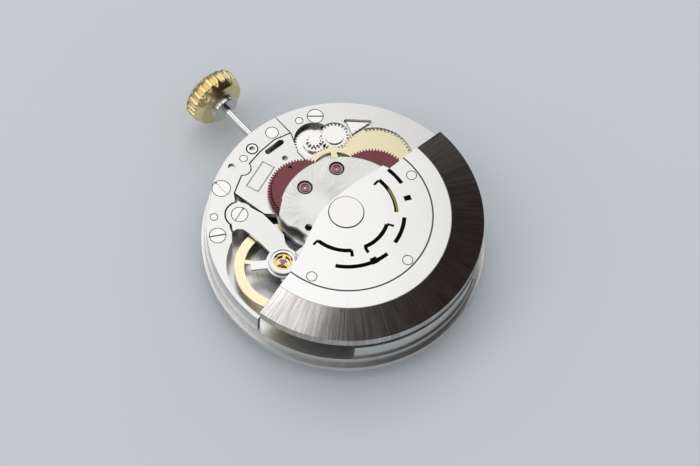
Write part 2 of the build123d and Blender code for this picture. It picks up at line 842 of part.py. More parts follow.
# Barrel bridge, over the barrel, with the wells of the winding wheels
with BuildPart() as barrel_bridge:
    slab(barrel_bridge_shares, bridge_level, bridge_top)
    for start, end in barrel_foot_angles:
        sector(bridge_radius - foot_width, bridge_radius, start, end, plate_top, bridge_level)
    for place in sized(barrel_bridge_screw_shares):
        post(place, plate_top, bridge_level, screw_foot_radius)
    pocket(crown_gear.place, bridge_level, lower_bridge_level, crown_gear.tip + well_gap)
    pocket(idler_gear.place, bridge_level, bridge_top, idler_gear.tip + well_gap)
    pocket(barrel_place, recess_floor, bridge_top, ratchet_gear.tip + level_gap)
    pocket(upper_idler.place, recess_floor, bridge_top, upper_idler.tip + level_gap)
    pocket(reducer_place, recess_floor, bridge_top, reducer_pinion.tip + level_gap)
    pocket(reducer_place, recess_floor - jewel_height, recess_floor, small_jewel_radius)
    pocket(reducer_place, bridge_level, recess_floor, pivot_radius + running_gap)
    pocket(barrel_place, bridge_level, bridge_top, barrel_pivot_radius + running_gap)
    pocket(upper_idler.place, bridge_level, recess_floor, idler_core_radius)
    for place in sized(barrel_bridge_screw_shares):
        screw_seat(place, bridge_top, screw_head, screw_head_height, screw_shank, plate_top)
    pocket(placed(steady_pin_shares[0]), plate_top, bridge_top, pin_radius)
    pocket(click_pivot, bridge_level, recess_floor, click_core_radius)
    with BuildSketch(Plane.XY.offset(recess_floor)) as click_well:
        with BuildLine() as outline:
            Polyline(*click_corners, close=True)
        make_face(outline.edges())
        offset(amount=click_sweep)
    extrude(click_well.sketch, amount=bridge_top - recess_floor, mode=Mode.SUBTRACT)
save(barrel_bridge.part, "barrel_bridge")

# Crescent bridge along the rim from the stem to the balance
with BuildPart() as side_bridge:
    slab(side_bridge_shares, plate_top, bridge_top)
    post(placed(side_lobe_share), plate_top, bridge_top, side_lobe_radius)
    pocket(balance_place, plate_top, bridge_top, balance_clear_radius)
    pocket(balance_boss_place, plate_top, bridge_top, balance_boss_radius + wide_gap)
    with BuildSketch(Plane.YZ.offset(crown_slot_outer_x + overrun)) as tunnel:
        with Locations((0, stem_level)):
            Circle(stem_radius + running_gap)
    extrude(tunnel.sketch, amount=-casing_radius, mode=Mode.SUBTRACT)
    screw_seat(
        placed(side_screw_share), bridge_top, screw_head, screw_head_height, screw_shank, plate_top
    )
    screw_seat(
        placed(case_screw_shares[0]), bridge_top, case_screw_head, screw_head_height, screw_shank, plate_top
    )
    for place in sized(steady_pin_shares[1:]):
        pocket(place, plate_top, bridge_top, pin_radius)
    pocket(placed(side_disc_share), bridge_top - screw_head_height, bridge_top, plain_disc_radius)
    pocket(placed(side_tube_share), bridge_top - screw_head_height, bridge_top, side_tube_radius)
    pocket(placed(side_hole_share), bridge_top - screw_head_height, bridge_top, side_hole_radius)
save(side_bridge.part, "side_bridge")

# Lower bridge of the self-winding work, with the rotor's axle
with BuildPart() as lower_rotor_bridge:
    slab(lower_bridge_shares, lower_bridge_level, bridge_top)
    for place in sized(lower_bridge_screw_shares):
        post(place, train_bridge_top, lower_bridge_level, screw_foot_radius)
    for place in sized(lower_bridge_post_shares):
        post(place, plate_top, lower_bridge_level, lower_post_radius)
    post(crown_gear.place, bridge_level - running_gap, lower_bridge_level, crown_core_radius)
    pocket(placed(side_lobe_share), lower_bridge_level, bridge_top, side_lobe_radius + level_gap)
    pocket(reverser_a.place, bridge_top - jewel_height, bridge_top, small_jewel_radius)
    pocket(reverser_a.place, lower_bridge_level, bridge_top, pivot_radius + running_gap)
    pocket(placed(crown_wheel_hole_share), lower_bridge_level + wide_gap, bridge_top, crown_hole_radius)
    for place in sized(lower_bridge_screw_shares):
        screw_seat(place, bridge_top, screw_head, screw_head_height, screw_shank, train_bridge_top)
    with BuildSketch(at(placed(pinion_window_share), lower_bridge_level)) as window:
        SlotOverall(pinion_window_length, pinion_window_width, rotation=90)
    extrude(window.sketch, amount=bridge_top - lower_bridge_level, mode=Mode.SUBTRACT)
save(lower_rotor_bridge.part, "lower_rotor_bridge")

# Rotor axle, a flanged post that stands on the lower bridge
with BuildPart() as rotor_axle:
    post((0.0, 0.0), bridge_top, rotor_top, rotor_axle_radius)
    post((0.0, 0.0), bridge_top, bridge_top + axle_flange_height, axle_flange_radius)
save(rotor_axle.part, "rotor_axle")

# Upper bridge of the self-winding work, the round plate under the rotor
with BuildPart() as upper_rotor_bridge:
    post((0.0, 0.0), upper_bridge_level, upper_bridge_top, upper_bridge_radius)
    slab(upper_bridge_cut_shares, upper_bridge_level, upper_bridge_top, mode=Mode.SUBTRACT)
    for place in upper_bridge_feet:
        post(place, bridge_top, upper_bridge_level, upper_bridge_foot_radius)
    pocket((0.0, 0.0), upper_bridge_level, upper_bridge_top, rotor_gear.tip + wide_gap)
    for place in (reverser_a.place, reducer_place):
        pocket(place, upper_bridge_level, upper_bridge_top, setting_ring_radius)
    pocket(reverser_b.place, upper_bridge_level, upper_bridge_top, small_jewel_radius)
    pocket(upper_bridge_hole, upper_bridge_level, upper_bridge_top, side_hole_radius)
save(upper_rotor_bridge.part, "upper_rotor_bridge")

# Pressed settings with their stones in the upper bridge
with BuildPart() as rotor_bridge_settings:
    for place in (reverser_a.place, reducer_place):
        post(place, upper_bridge_level, upper_bridge_top, setting_ring_radius, bore=small_jewel_radius)
        post(
            place, upper_bridge_top - setting_groove, upper_bridge_top, setting_ring_radius - setting_groove,
            bore=small_jewel_radius + setting_groove, mode=Mode.SUBTRACT,
        )
save(rotor_bridge_settings.part, "rotor_bridge_settings")

# Balance bridge, carried at both ends, with the setting of the balance's upper bearing
with BuildPart() as balance_bridge:
    slab(balance_bridge_shares, balance_bridge_level, bridge_top)
    post(balance_boss_place, plate_top, bridge_top, balance_boss_radius)
    post(balance_far_boss_place, plate_top, bridge_top, balance_far_foot_radius)
    post(balance_place, balance_bridge_level, setting_top, balance_setting_radius)
    pocket(balance_place, bridge_top - shock_seat_depth, setting_top, shock_ring_radius + fit_gap)
    pocket(balance_place, balance_bridge_level, bridge_top, staff_radius + wide_gap)
    for place in (balance_boss_place, balance_far_boss_place):
        screw_seat(place, bridge_top, screw_head, screw_head_height, screw_shank, plate_top)
save(balance_bridge.part, "balance_bridge")

# Shock-absorbing bearing of the balance: seat with hole stone, lyre spring and cap stone
with BuildPart() as shock_seat:
    post(
        balance_place, bridge_top - shock_seat_depth, setting_top - level_gap, shock_ring_radius,
        bore=shock_bore_radius,
    )
    post(
        balance_place, bridge_top - shock_seat_depth, bridge_top, shock_bore_radius,
        bore=staff_pivot_radius + running_gap,
    )
save(shock_seat.part, "shock_seat")

with BuildPart() as shock_spring:
    spring_base = bridge_top + cap_jewel_height + running_gap
    post(
        balance_place, spring_base, spring_base + shock_spring_height, shock_spring_radius,
        bore=shock_spring_radius - shock_spring_width,
    )
    with BuildSketch(at(balance_place, spring_base)) as gaps:
        with PolarLocations(shock_spring_radius, shock_tongues, start_angle=fork_line):
            Rectangle(shock_gap_width, shock_tongue_width)
    extrude(gaps.sketch, amount=shock_spring_height, mode=Mode.SUBTRACT)
    with BuildSketch(at(balance_place, spring_base)) as tongues:
        Circle(shock_spring_radius - shock_spring_width)
        Circle(cap_jewel_radius * shock_tongue_share, mode=Mode.SUBTRACT)
        with PolarLocations(shock_spring_radius, shock_tongues, start_angle=fork_line + 180 / shock_tongues):
            Rectangle(2 * shock_spring_radius, shock_tongue_width, mode=Mode.INTERSECT)
    extrude(tongues.sketch, amount=shock_spring_height)
save(shock_spring.part, "shock_spring")

# Stud holder: an arm clamped round the setting, with the pin of the hairspring's outer end
with BuildPart() as stud_holder:
    with BuildSketch(at(balance_place, bridge_top)) as arm:
        Circle(balance_setting_radius + stud_ring_width)
        with Locations(polar((hairspring_outer_radius + stud_arm_overhang) / 2, stud_angle)):
            Rectangle(hairspring_outer_radius + stud_arm_overhang, stud_arm_width, rotation=stud_angle)
        Circle(balance_setting_radius + fit_gap, mode=Mode.SUBTRACT)
    extrude(arm.sketch, amount=stud_arm_height)
    post(stud_place, hairspring_level + hairspring_height, bridge_top, stud_radius)
save(stud_holder.part, "stud_holder")

# Pallet bridge
with BuildPart() as pallet_bridge:
    slab(pallet_bridge_shares, pallet_bridge_level, pallet_bridge_level + pallet_bridge_thickness)
    post(pallet_bridge_foot, plate_top, pallet_bridge_level, pallet_foot_radius)
    pocket(pallet_place, pallet_bridge_level, train_bridge_level, pivot_radius + running_gap)
save(pallet_bridge.part, "pallet_bridge")

# Screws, pins and plugs that hold or close the bridges
with BuildPart() as bridge_screws:
    screw_places = sized(barrel_bridge_screw_shares + train_bridge_screw_shares + (side_screw_share,))
    screw_places += [balance_boss_place, balance_far_boss_place]
    for place, turn in zip(screw_places, screw_turns):
        slotted_screw(
            place, bridge_top, screw_head, screw_head_height - fit_gap, screw_shank,
            plate_top - screw_grip + fit_gap, turn,
        )
    for place in sized(lower_bridge_screw_shares):
        slotted_screw(
            place, bridge_top, screw_head, screw_head_height - fit_gap, screw_shank,
            train_bridge_level + fit_gap, screw_turns[0],
        )
    for place, head in zip(sized(case_screw_shares), (case_screw_head, screw_head)):
        slotted_screw(
            place, bridge_top, head, screw_head_height - fit_gap, screw_shank,
            plate_top - screw_grip + fit_gap, case_screw_turn,
        )
    for place in sized(calendar_post_shares):
        post(place, 0, calendar_screw_depth - fit_gap, calendar_screw_shank)
save(bridge_screws.part, "screws")

with BuildPart() as steady_pins:
    for place in sized(steady_pin_shares):
        post(place, plate_top - screw_grip + fit_gap, bridge_top, pin_radius)
    post(
        placed(side_disc_share), bridge_top - screw_head_height, bridge_top, plain_disc_radius,
    )
    post(
        placed(side_tube_share), bridge_top - screw_head_height, bridge_top, side_tube_radius,
        bore=side_tube_bore,
    )
save(steady_pins.part, "steady_pins")


def staff(place, low, high, radius=arbor_radius):
    """A round arbor between two bearings, with a thin pivot at each end."""
    post(place, low + running_gap, high - running_gap, radius)
    post(place, low - pivot_length, high + pivot_length, pivot_radius)


def leaf_pinion(gear, wheel_level, wheel_thickness, bore=0.0):
    """A pinion a little longer than the wheel that it meets."""
    solid_gear(gear, wheel_level - pinion_margin, wheel_thickness + 2 * pinion_margin, bore)


train_bearing = train_bridge_top - jewel_height

# Mainspring barrel: drum with its toothed rim, spring, arbor and cover
with BuildPart() as mainspring_barrel:
    solid_gear(barrel_gear, plate_top, barrel_tooth_height)
    post(barrel_place, plate_top, drum_top - barrel_cover_height, barrel_drum_radius)
    pocket(
        barrel_place, plate_top + barrel_floor, drum_top - barrel_cover_height,
        barrel_drum_radius - barrel_wall,
    )
    pocket(barrel_place, plate_top, drum_top, barrel_pivot_radius + running_gap)
    post(
        barrel_place, drum_top - barrel_cover_height, drum_top, barrel_drum_radius,
        bore=barrel_pivot_radius + running_gap,
    )
save(mainspring_barrel.part, "mainspring_barrel")

with BuildPart() as barrel_arbor:
    post(barrel_place, web_top - jewel_height, recess_floor, barrel_pivot_radius)
    post(
        barrel_place, plate_top + barrel_floor + running_gap, drum_top - barrel_cover_height - running_gap,
        barrel_arbor_radius,
    )
    with BuildSketch(at(barrel_place, recess_floor)) as square:
        Rectangle(barrel_square, barrel_square)
    extrude(square.sketch, amount=ratchet_thickness + running_gap)
    pocket(barrel_place, recess_floor - screw_head_height, bridge_top, ratchet_screw_shank)
save(barrel_arbor.part, "barrel_arbor")


def spiral_strip(start_radius, pitch, turns, width, turn=0.0):
    """A flat spiral of half circles about two centres, as one strip of even width."""
    for half in range(2 * turns):
        radius = start_radius + pitch * half / 2
        shift = pitch / 4 * (1 if half % 2 else -1)
        start = turn + 180 * (half % 2)
        centre = polar(shift, turn)
        inner = radius + pitch / 4 - width / 2
        outer = inner + width
        with BuildLine() as outline:
            Line(polar(inner, start, centre), polar(outer, start, centre))
            CenterArc(centre, outer, start, 180)
            Line(polar(outer, start + 180, centre), polar(inner, start + 180, centre))
            CenterArc(centre, inner, start, 180)
        make_face(outline.edges())


with BuildPart() as mainspring:
    with BuildSketch(at(barrel_place, plate_top + barrel_floor + level_gap)) as coil:
        spiral_strip(
            barrel_arbor_radius + spring_thickness + running_gap, spring_pitch, spring_turns,
            spring_thickness,
        )
    extrude(coil.sketch, amount=spring_height)
save(mainspring.part, "mainspring")

# Centre wheel on its hollow arbor, driven by the barrel
with BuildPart() as centre_wheel:
    spoked_gear(
        centre_gear, centre_level, centre_wheel_thickness, wheel_rim, centre_hub_radius, wheel_spoke,
        centre_spokes,
    )
    solid_gear(centre_pinion, plate_top, barrel_tooth_height)
    post((0.0, 0.0), centre_level, plate_top, centre_hub_radius)
    post((0.0, 0.0), centre_arbor_bottom, centre_level, centre_tube_radius)
    pocket((0.0, 0.0), centre_arbor_bottom, train_bridge_level, seconds_radius + level_gap / 2)
save(centre_wheel.part, "centre_wheel")

with BuildPart() as third_wheel:
    spoked_gear(third_gear, third_level, thin_wheel, wheel_rim, train_hub_radius, wheel_spoke, wheel_spokes)
    leaf_pinion(third_pinion, centre_level, centre_wheel_thickness)
    staff(third_place, web_top, train_bridge_level)
save(third_wheel.part, "third_wheel")

with BuildPart() as fourth_wheel:
    spoked_gear(fourth_gear, fourth_level, thin_wheel, wheel_rim, train_hub_radius, wheel_spoke, wheel_spokes)
    leaf_pinion(fourth_pinion, third_level, thin_wheel)
    staff(fourth_place, plate_top, train_bridge_level)
save(fourth_wheel.part, "fourth_wheel")

with BuildPart() as seconds_arbor:
    leaf_pinion(seconds_pinion, third_level, thin_wheel)
    post((0.0, 0.0), seconds_bottom, train_bridge_top - level_gap / 2, seconds_radius)
    post((0.0, 0.0), cannon_bottom, cannon_bottom + seconds_bush_length, seconds_bush_radius)
save(seconds_arbor.part, "seconds_pinion")

# Escape wheel with slanted club teeth
with BuildPart() as escape_wheel:
    with BuildSketch(at(escape_place, escape_level)) as club_teeth:
        with BuildLine() as outline:
            points = []
            for n in range(escape_teeth):
                base = n * 360 / escape_teeth
                for radius_share, lead_share in club_tooth_shares:
                    reach = escape_root_radius + (escape_tip_radius - escape_root_radius) * radius_share
                    points.append(polar(reach, base + lead_share * 360 / escape_teeth))
            Polyline(*points, close=True)
        make_face(outline.edges())
        Circle(escape_root_radius - escape_rim, mode=Mode.SUBTRACT)
        Circle(escape_hub_radius)
        with PolarLocations(escape_root_radius / 2, escape_spokes):
            Rectangle(escape_root_radius, escape_spoke)
    extrude(club_teeth.sketch, amount=escape_thickness)
    leaf_pinion(escape_pinion, fourth_level, thin_wheel)
    staff(escape_place, escape_level - level_gap, train_bridge_level, escape_arbor_radius)
save(escape_wheel.part, "escape_wheel")

# Pallet fork: two arms with their stones, and the lever with its notch
fork_level = escape_level + escape_thickness + running_gap
stone_centres = [
    polar(
        escape_tip_radius + stone_stand_off,
        heading(escape_place, pallet_place) + side * pallet_span_angle,
        escape_place,
    )
    for side in (1, -1)
]
with BuildPart() as pallet_fork:
    with BuildSketch(at(pallet_place, fork_level)) as fork:
        for centre in stone_centres:
            reach = apart(pallet_place, centre)
            with Locations(polar(reach / 2, heading(pallet_place, centre))):
                Rectangle(reach + stone_width, fork_width, rotation=heading(pallet_place, centre))
        lever_length = fork_reach - impulse_pin_circle - impulse_pin_radius - running_gap
        with Locations(polar(lever_length / 2, fork_line)):
            Rectangle(lever_length, fork_width, rotation=fork_line)
        with Locations(polar(lever_length - fork_horn_length / 2, fork_line)):
            Rectangle(fork_horn_length, fork_width + fork_mouth, rotation=fork_line)
        with Locations(polar(lever_length, fork_line)):
            Rectangle(fork_horn_length, fork_mouth, rotation=fork_line, mode=Mode.SUBTRACT)
        Circle(pallet_hub_radius)
    extrude(fork.sketch, amount=pallet_body_height)
    staff(pallet_place, escape_level - level_gap, pallet_bridge_level, escape_arbor_radius)
    for centre in stone_centres:
        with BuildSketch(at(centre, escape_level - running_gap)) as stone:
            Rectangle(stone_width, stone_width, rotation=heading(escape_place, centre))
        extrude(stone.sketch, amount=escape_thickness + 2 * running_gap)
save(pallet_fork.part, "pallet_fork")

# Balance: rim with two arms and sunk timing nuts, staff with roller and impulse pin
nut_places = [
    polar(balance_nut_circle, fork_line + 360 / timing_nuts * (n + 1 / 2), balance_place)
    for n in range(timing_nuts)
]
with BuildPart() as balance_wheel:
    post(balance_place, balance_level, balance_top, balance_outer_radius, bore=balance_inner_radius)
    with BuildSketch(at(balance_place, balance_level + level_gap / 2)) as arms:
        Rectangle(2 * balance_inner_radius + wide_gap, balance_arm_width, rotation=balance_arm_turn)
        Circle(balance_hub_radius)
        Circle(staff_radius, mode=Mode.SUBTRACT)
    extrude(arms.sketch, amount=balance_arm_height)
    for place in nut_places:
        pocket(place, balance_top - timing_nut_height / 2, balance_top, timing_nut_radius)
    for place in nut_places:
        post(place, balance_top - timing_nut_height / 2, balance_top + running_gap, timing_nut_radius)
        with BuildSketch(at(place, balance_top + running_gap)) as slot:
            Rectangle(2 * timing_nut_radius, timing_nut_radius * slot_width_share * 2)
        extrude(slot.sketch, amount=-running_gap * 2, mode=Mode.SUBTRACT)
save(balance_wheel.part, "balance_wheel")

with BuildPart() as balance_staff:
    post(
        balance_place, fork_level + pallet_body_height + running_gap,
        bridge_top - shock_seat_depth - wide_gap, staff_radius,
    )
    post(balance_place, escape_level + running_gap, bridge_top - shock_seat_depth, staff_waist_radius)
    post(balance_place, escape_level - level_gap - pivot_length, bridge_top - level_gap, staff_pivot_radius)
    post(
        balance_place, balance_level + level_gap / 2 + balance_arm_height,
        hairspring_level + hairspring_height, collet_radius,
    )
    roller_level = fork_level + pallet_body_height + roller_gap
    post(balance_place, roller_level, roller_level + roller_height, roller_radius, bore=staff_radius)
    post(
        polar(impulse_pin_circle, fork_line + 180, balance_place), fork_level - running_gap, roller_level,
        impulse_pin_radius,
    )
save(balance_staff.part, "balance_staff")

# Hairspring: one flat spiral from the collet to the stud
with BuildPart() as hairspring:
    with BuildSketch(at(balance_place, hairspring_level)) as coil:
        spiral_strip(
            collet_radius + hairspring_width, hairspring_pitch, hairspring_turns, hairspring_width,
            stud_angle,
        )
    extrude(coil.sketch, amount=hairspring_height)
save(hairspring.part, "hairspring")
print("least gap between turns of the hairspring:", round(hairspring_pitch - hairspring_width, 3), "mm")

# Winding train on the barrel bridge
with BuildPart() as ratchet_wheel:
    solid_gear(ratchet_gear, recess_floor + running_gap, ratchet_thickness)
    with BuildSketch(at(barrel_place, recess_floor)) as square:
        Rectangle(barrel_square + 2 * fit_gap, barrel_square + 2 * fit_gap)
    extrude(square.sketch, amount=ratchet_thickness + level_gap, mode=Mode.SUBTRACT)
save(ratchet_wheel.part, "ratchet_wheel")

with BuildPart() as ratchet_screw:
    slotted_screw(
        barrel_place, recess_floor + running_gap + ratchet_thickness + ratchet_screw_height,
        ratchet_screw_radius, ratchet_screw_height - fit_gap, ratchet_screw_shank,
        recess_floor - screw_head_height + running_gap, ratchet_screw_turn,
    )
save(ratchet_screw.part, "ratchet_screw")

with BuildPart() as crown_wheel:
    solid_gear(crown_gear, bridge_level + fit_gap, crown_wheel_thickness, crown_core_radius + running_gap)
save(crown_wheel.part, "crown_wheel")

with BuildPart() as winding_idler:
    solid_gear(idler_gear, bridge_level + fit_gap, crown_wheel_thickness)
    post(idler_place, bridge_level + crown_wheel_thickness, recess_floor - running_gap, idler_collar_radius)
    post(idler_place, bridge_level + crown_wheel_thickness, recess_floor + running_gap, idler_pinion.root)
    solid_gear(idler_pinion, recess_floor + running_gap, ratchet_thickness)
    post(idler_place, plate_top + running_gap, bridge_level + crown_wheel_thickness, idler_core_radius)
save(winding_idler.part, "winding_idler")

with BuildPart() as upper_winding_idler:
    solid_gear(upper_idler, recess_floor + running_gap, ratchet_thickness)
    post(
        upper_idler_place, lower_bridge_level, recess_floor + running_gap, idler_core_radius - running_gap,
    )
    post(
        upper_idler_place, recess_floor + 2 * running_gap + ratchet_thickness, idler_cap_top,
        idler_cap_radius,
    )
save(upper_winding_idler.part, "upper_winding_idler")

# Click: a three-cornered plate with saw teeth along its side next to the ratchet wheel
click_side = apart(click_corners[1], click_corners[2])
click_line = heading(click_corners[1], click_corners[2])
click_points = list(click_corners[:2])
for n in range(click_teeth):
    for share, depth in ((click_tooth_share, 0.0), (1, click_tooth_depth), (1, 0.0)):
        along = polar((n + share) * click_side / (click_teeth + 1), click_line, click_corners[1])
        click_points.append(polar(depth, click_line - 90, along))
click_points.append(click_corners[2])
with BuildPart() as click:
    with BuildSketch(Plane.XY.offset(recess_floor + running_gap)) as pawl:
        with BuildLine() as outline:
            Polyline(*click_points, close=True)
        make_face(outline.edges())
    extrude(pawl.sketch, amount=ratchet_thickness)
    post(click_pivot, bridge_level, recess_floor + running_gap, click_core_radius - running_gap)
save(click.part, "click")


# Stem, winding pinion and sliding clutch on one axis
def along_stem(start, length, radius, bore=0.0, mode=Mode.ADD):
    """A round piece on the stem's axis that runs outwards from a place along X."""
    with BuildSketch(Plane.YZ.offset(start)) as profile:
        with Locations((0, stem_level)):
            Circle(radius)
            if bore:
                Circle(bore, mode=Mode.SUBTRACT)
    extrude(profile.sketch, amount=-length, mode=mode)


def stem_teeth(start, length, radius, root, count, mode=Mode.ADD):
    """Straight teeth round the stem's axis."""
    with BuildSketch(Plane.YZ.offset(start)) as profile:
        with Locations((0, stem_level)):
            Circle(root)
            with PolarLocations((radius + root) / 2, count):
                Rectangle(radius - root + fit_gap, tooth_width_share * 2 * pi * radius / count)
    extrude(profile.sketch, amount=-length, mode=mode)


def dog_teeth(start, length, turn):
    """Face teeth through which the sliding pinion drives the winding pinion."""
    with BuildSketch(Plane.YZ.offset(start)) as profile:
        with Locations((0, stem_level)):
            with PolarLocations(dog_circle, dog_count, start_angle=turn):
                Rectangle(dog_width, dog_width)
    extrude(profile.sketch, amount=-length)


with BuildPart() as winding_stem:
    with BuildSketch(Plane.YZ.offset(stem_inner_x)) as square:
        with Locations((0, stem_level)):
            Rectangle(2 * stem_square, 2 * stem_square)
    extrude(square.sketch, amount=winding_pinion_x - stem_inner_x)
    along_stem(winding_pinion_x, winding_pinion_x - stem_outer_x, stem_radius)
    along_stem(
        stem_neck_x + stem_neck_length / 2, stem_neck_length, stem_radius + overrun, stem_neck_radius,
        Mode.SUBTRACT,
    )
save(winding_stem.part, "winding_stem")

with BuildPart() as winding_pinion:
    stem_teeth(
        winding_pinion_x, winding_pinion_length, winding_pinion_radius, winding_pinion_hub,
        winding_pinion_teeth,
    )
    dog_teeth(winding_pinion_x + clutch_dog_depth, clutch_dog_depth, 180 / dog_count)
    along_stem(winding_pinion_x, winding_pinion_length, stem_radius + running_gap, mode=Mode.SUBTRACT)
save(winding_pinion.part, "winding_pinion")

with BuildPart() as sliding_pinion:
    along_stem(clutch_inner_x, clutch_length, winding_pinion_hub)
    stem_teeth(
        clutch_inner_x, clutch_teeth_length, winding_pinion_radius, winding_pinion_hub, winding_pinion_teeth
    )
    along_stem(clutch_outer_x + clutch_teeth_length, clutch_teeth_length, winding_pinion_radius)
    along_stem(
        clutch_groove_x + clutch_groove_length / 2, clutch_groove_length, winding_pinion_radius + overrun,
        clutch_groove_radius, Mode.SUBTRACT,
    )
    dog_teeth(clutch_outer_x, clutch_dog_depth, 0)
    with BuildSketch(Plane.YZ.offset(clutch_inner_x)) as square:
        with Locations((0, stem_level)):
            Rectangle(2 * (stem_square + running_gap), 2 * (stem_square + running_gap))
    extrude(square.sketch, amount=-clutch_length, mode=Mode.SUBTRACT)
save(sliding_pinion.part, "sliding_pinion")

# Crown with flutes round its rim, a domed end and a bevel towards the movement
crown_back_x = crown_x + crown_length
with BuildPart() as crown:
    with BuildSketch(Plane.YZ.offset(crown_back_x)) as rim:
        with Locations((0, stem_level)):
            Circle(crown_radius)
            with PolarLocations(crown_radius, crown_flutes):
                Circle(crown_flute_radius, mode=Mode.SUBTRACT)
    extrude(rim.sketch, amount=-crown_length)
    for end, bevel, radius, beyond in (
        (crown_x, crown_dome, crown_face_radius, crown_x - overrun),
        (crown_back_x, -crown_bevel_length, crown_back_radius, crown_back_x + overrun),
    ):
        with BuildSketch(Plane.XY.offset(stem_level)) as corner:
            with BuildLine() as outline:
                Polyline(
                    (beyond, radius), (end, radius), (end + bevel, crown_radius),
                    (end + bevel, crown_radius + overrun), (beyond, crown_radius + overrun), close=True,
                )
            make_face(outline.edges())
        revolve(corner.sketch, Axis((0, 0, stem_level), (1, 0, 0)), mode=Mode.SUBTRACT)
    along_stem(crown_back_x + crown_collar_length, crown_collar_length, crown_collar_radius)
    along_stem(
        crown_back_x + crown_collar_length, crown_back_x + crown_collar_length - stem_outer_x, stem_radius,
        mode=Mode.SUBTRACT,
    )
save(crown.part, "crown")


# Self-winding work: wheels between the two rotor bridges
def reversing_disc(gear, level, bore):
    """A toothed disc with a few small round holes."""
    solid_gear(gear, level, reverser_thickness, bore)
    for n in range(reverser_holes):
        turn = reverser_hole_turn + n * 360 / reverser_holes
        hole = polar(reverser_hole_circle, turn, gear.place)
        pocket(hole, level, level + reverser_thickness, reverser_hole_radius)


with BuildPart() as reversing_wheel_a:
    reversing_disc(reverser_a, reverser_a_level, arbor_radius + running_gap)
    reversing_disc(link_gear, reverser_b_level, link_bore_radius)
    post(
        reverser_a.place, reverser_a_level + reverser_thickness, reverser_b_level + reverser_thickness,
        link_bore_radius + fit_gap, bore=arbor_radius + running_gap,
    )
save(reversing_wheel_a.part, "reversing_wheel_a")

with BuildPart() as reversing_wheel_b:
    reversing_disc(reverser_b, reverser_b_level, arbor_radius + running_gap)
save(reversing_wheel_b.part, "reversing_wheel_b")

upper_bearing = upper_bridge_top - jewel_height - level_gap
with BuildPart() as reversing_pinion_a:
    solid_gear(click_pinion_a, reducer_level, reducer_thickness)
    staff(reverser_a.place, bridge_top, upper_bearing)
save(reversing_pinion_a.part, "reversing_pinion_a")

with BuildPart() as reversing_pinion_b:
    solid_gear(click_pinion_b, reducer_level, reducer_thickness)
    post(reverser_b.place, reducer_level, upper_bearing - running_gap, arbor_radius)
    post(reverser_b.place, reducer_level, upper_bearing + pivot_length, pivot_radius)
save(reversing_pinion_b.part, "reversing_pinion_b")

with BuildPart() as driving_wheel:
    spoked_gear(
        reducer_gear, reducer_level, reducer_thickness, reducer_rim, reducer_pinion.radius, reducer_spoke,
        reducer_spokes,
    )
    solid_gear(reducer_pinion, recess_floor + running_gap, ratchet_thickness)
    post(reducer_place, recess_floor + running_gap, reducer_level, reducer_pinion.root)
    post(reducer_place, recess_floor - pivot_length, upper_bearing + pivot_length, pivot_radius)
save(driving_wheel.part, "driving_wheel")


# Rotor: carrier plate, heavy rim with a top that falls outwards, hub tube with its pinion, cap and rivets
def rotor_disc(bottom, top, radius, hole=0.0):
    """A slice of the rotor: its outline inside a circle."""
    with BuildSketch(Plane.XY.offset(bottom)) as profile:
        Circle(radius)
        with BuildLine() as outline:
            Polyline(*sized(rotor_shares), close=True)
        make_face(outline.edges(), mode=Mode.INTERSECT)
        Circle(hub_collar_radius)
        if hole:
            Circle(hole, mode=Mode.SUBTRACT)
    extrude(profile.sketch, amount=top - bottom)


def arc_slot(radius, start, end, width=0.0):
    """A narrow curved slot through the rotor plate."""
    half = (width or rotor_slot_width) / 2
    sector(radius - half, radius + half, start, end, rotor_level, rotor_top, mode=Mode.SUBTRACT)


with BuildPart() as rotor_plate:
    rotor_disc(rotor_level, rotor_top, rotor_ring_radius, hub_tube_radius)
    for share, start, end in rotor_slots_shares:
        arc_slot(share * rotor_plate_radius, start, end)
    for share, start, end in rotor_hooks_shares:
        arc_slot(share * rotor_plate_radius, start, end, rotor_hook_width)
    sector(
        rotor_plate_radius - rotor_groove_width / 2, rotor_plate_radius + rotor_groove_width / 2,
        *rotor_groove_angles, rotor_top - rotor_groove_depth, rotor_top, mode=Mode.SUBTRACT,
    )
    for angle in rotor_rivet_angles:
        pocket(polar(rotor_rivet_circle, angle), rotor_level, rotor_top, rotor_rivet_radius)
save(rotor_plate.part, "rotor_plate")

with BuildPart() as rotor_weight:
    with BuildSketch(Plane.XY.offset(rotor_rim_bottom)) as rim:
        Circle(rotor_radius)
        Circle(rotor_rim_inner, mode=Mode.SUBTRACT)
        with BuildLine() as outline:
            Polyline(*sized(rotor_shares), close=True)
        make_face(outline.edges(), mode=Mode.INTERSECT)
    extrude(rim.sketch, amount=rotor_top - rotor_rim_bottom)
    pocket((0.0, 0.0), rotor_level, rotor_top, rotor_ring_radius)
    steepness = rotor_rim_fall / (rotor_radius - rotor_ring_radius)
    cone_radius = rotor_radius + overrun
    with BuildSketch(Plane.XZ) as cone:
        with BuildLine() as outline:
            Polyline(
                (rotor_ring_radius, rotor_top),
                (cone_radius, rotor_top - steepness * (cone_radius - rotor_ring_radius)),
                (cone_radius, rotor_top + overrun),
                (rotor_ring_radius, rotor_top + overrun),
                close=True,
            )
        make_face(outline.edges())
    revolve(cone.sketch, Axis.Z, mode=Mode.SUBTRACT)
save(rotor_weight.part, "rotor_weight")

with BuildPart() as rotor_hub:
    post((0.0, 0.0), rotor_hub_bottom, rotor_top, hub_tube_radius, bore=rotor_axle_radius + running_gap)
    solid_gear(
        rotor_gear, reverser_a_level - pinion_margin, reverser_thickness + 2 * pinion_margin,
        hub_tube_radius - fit_gap,
    )
save(rotor_hub.part, "rotor_pinion")

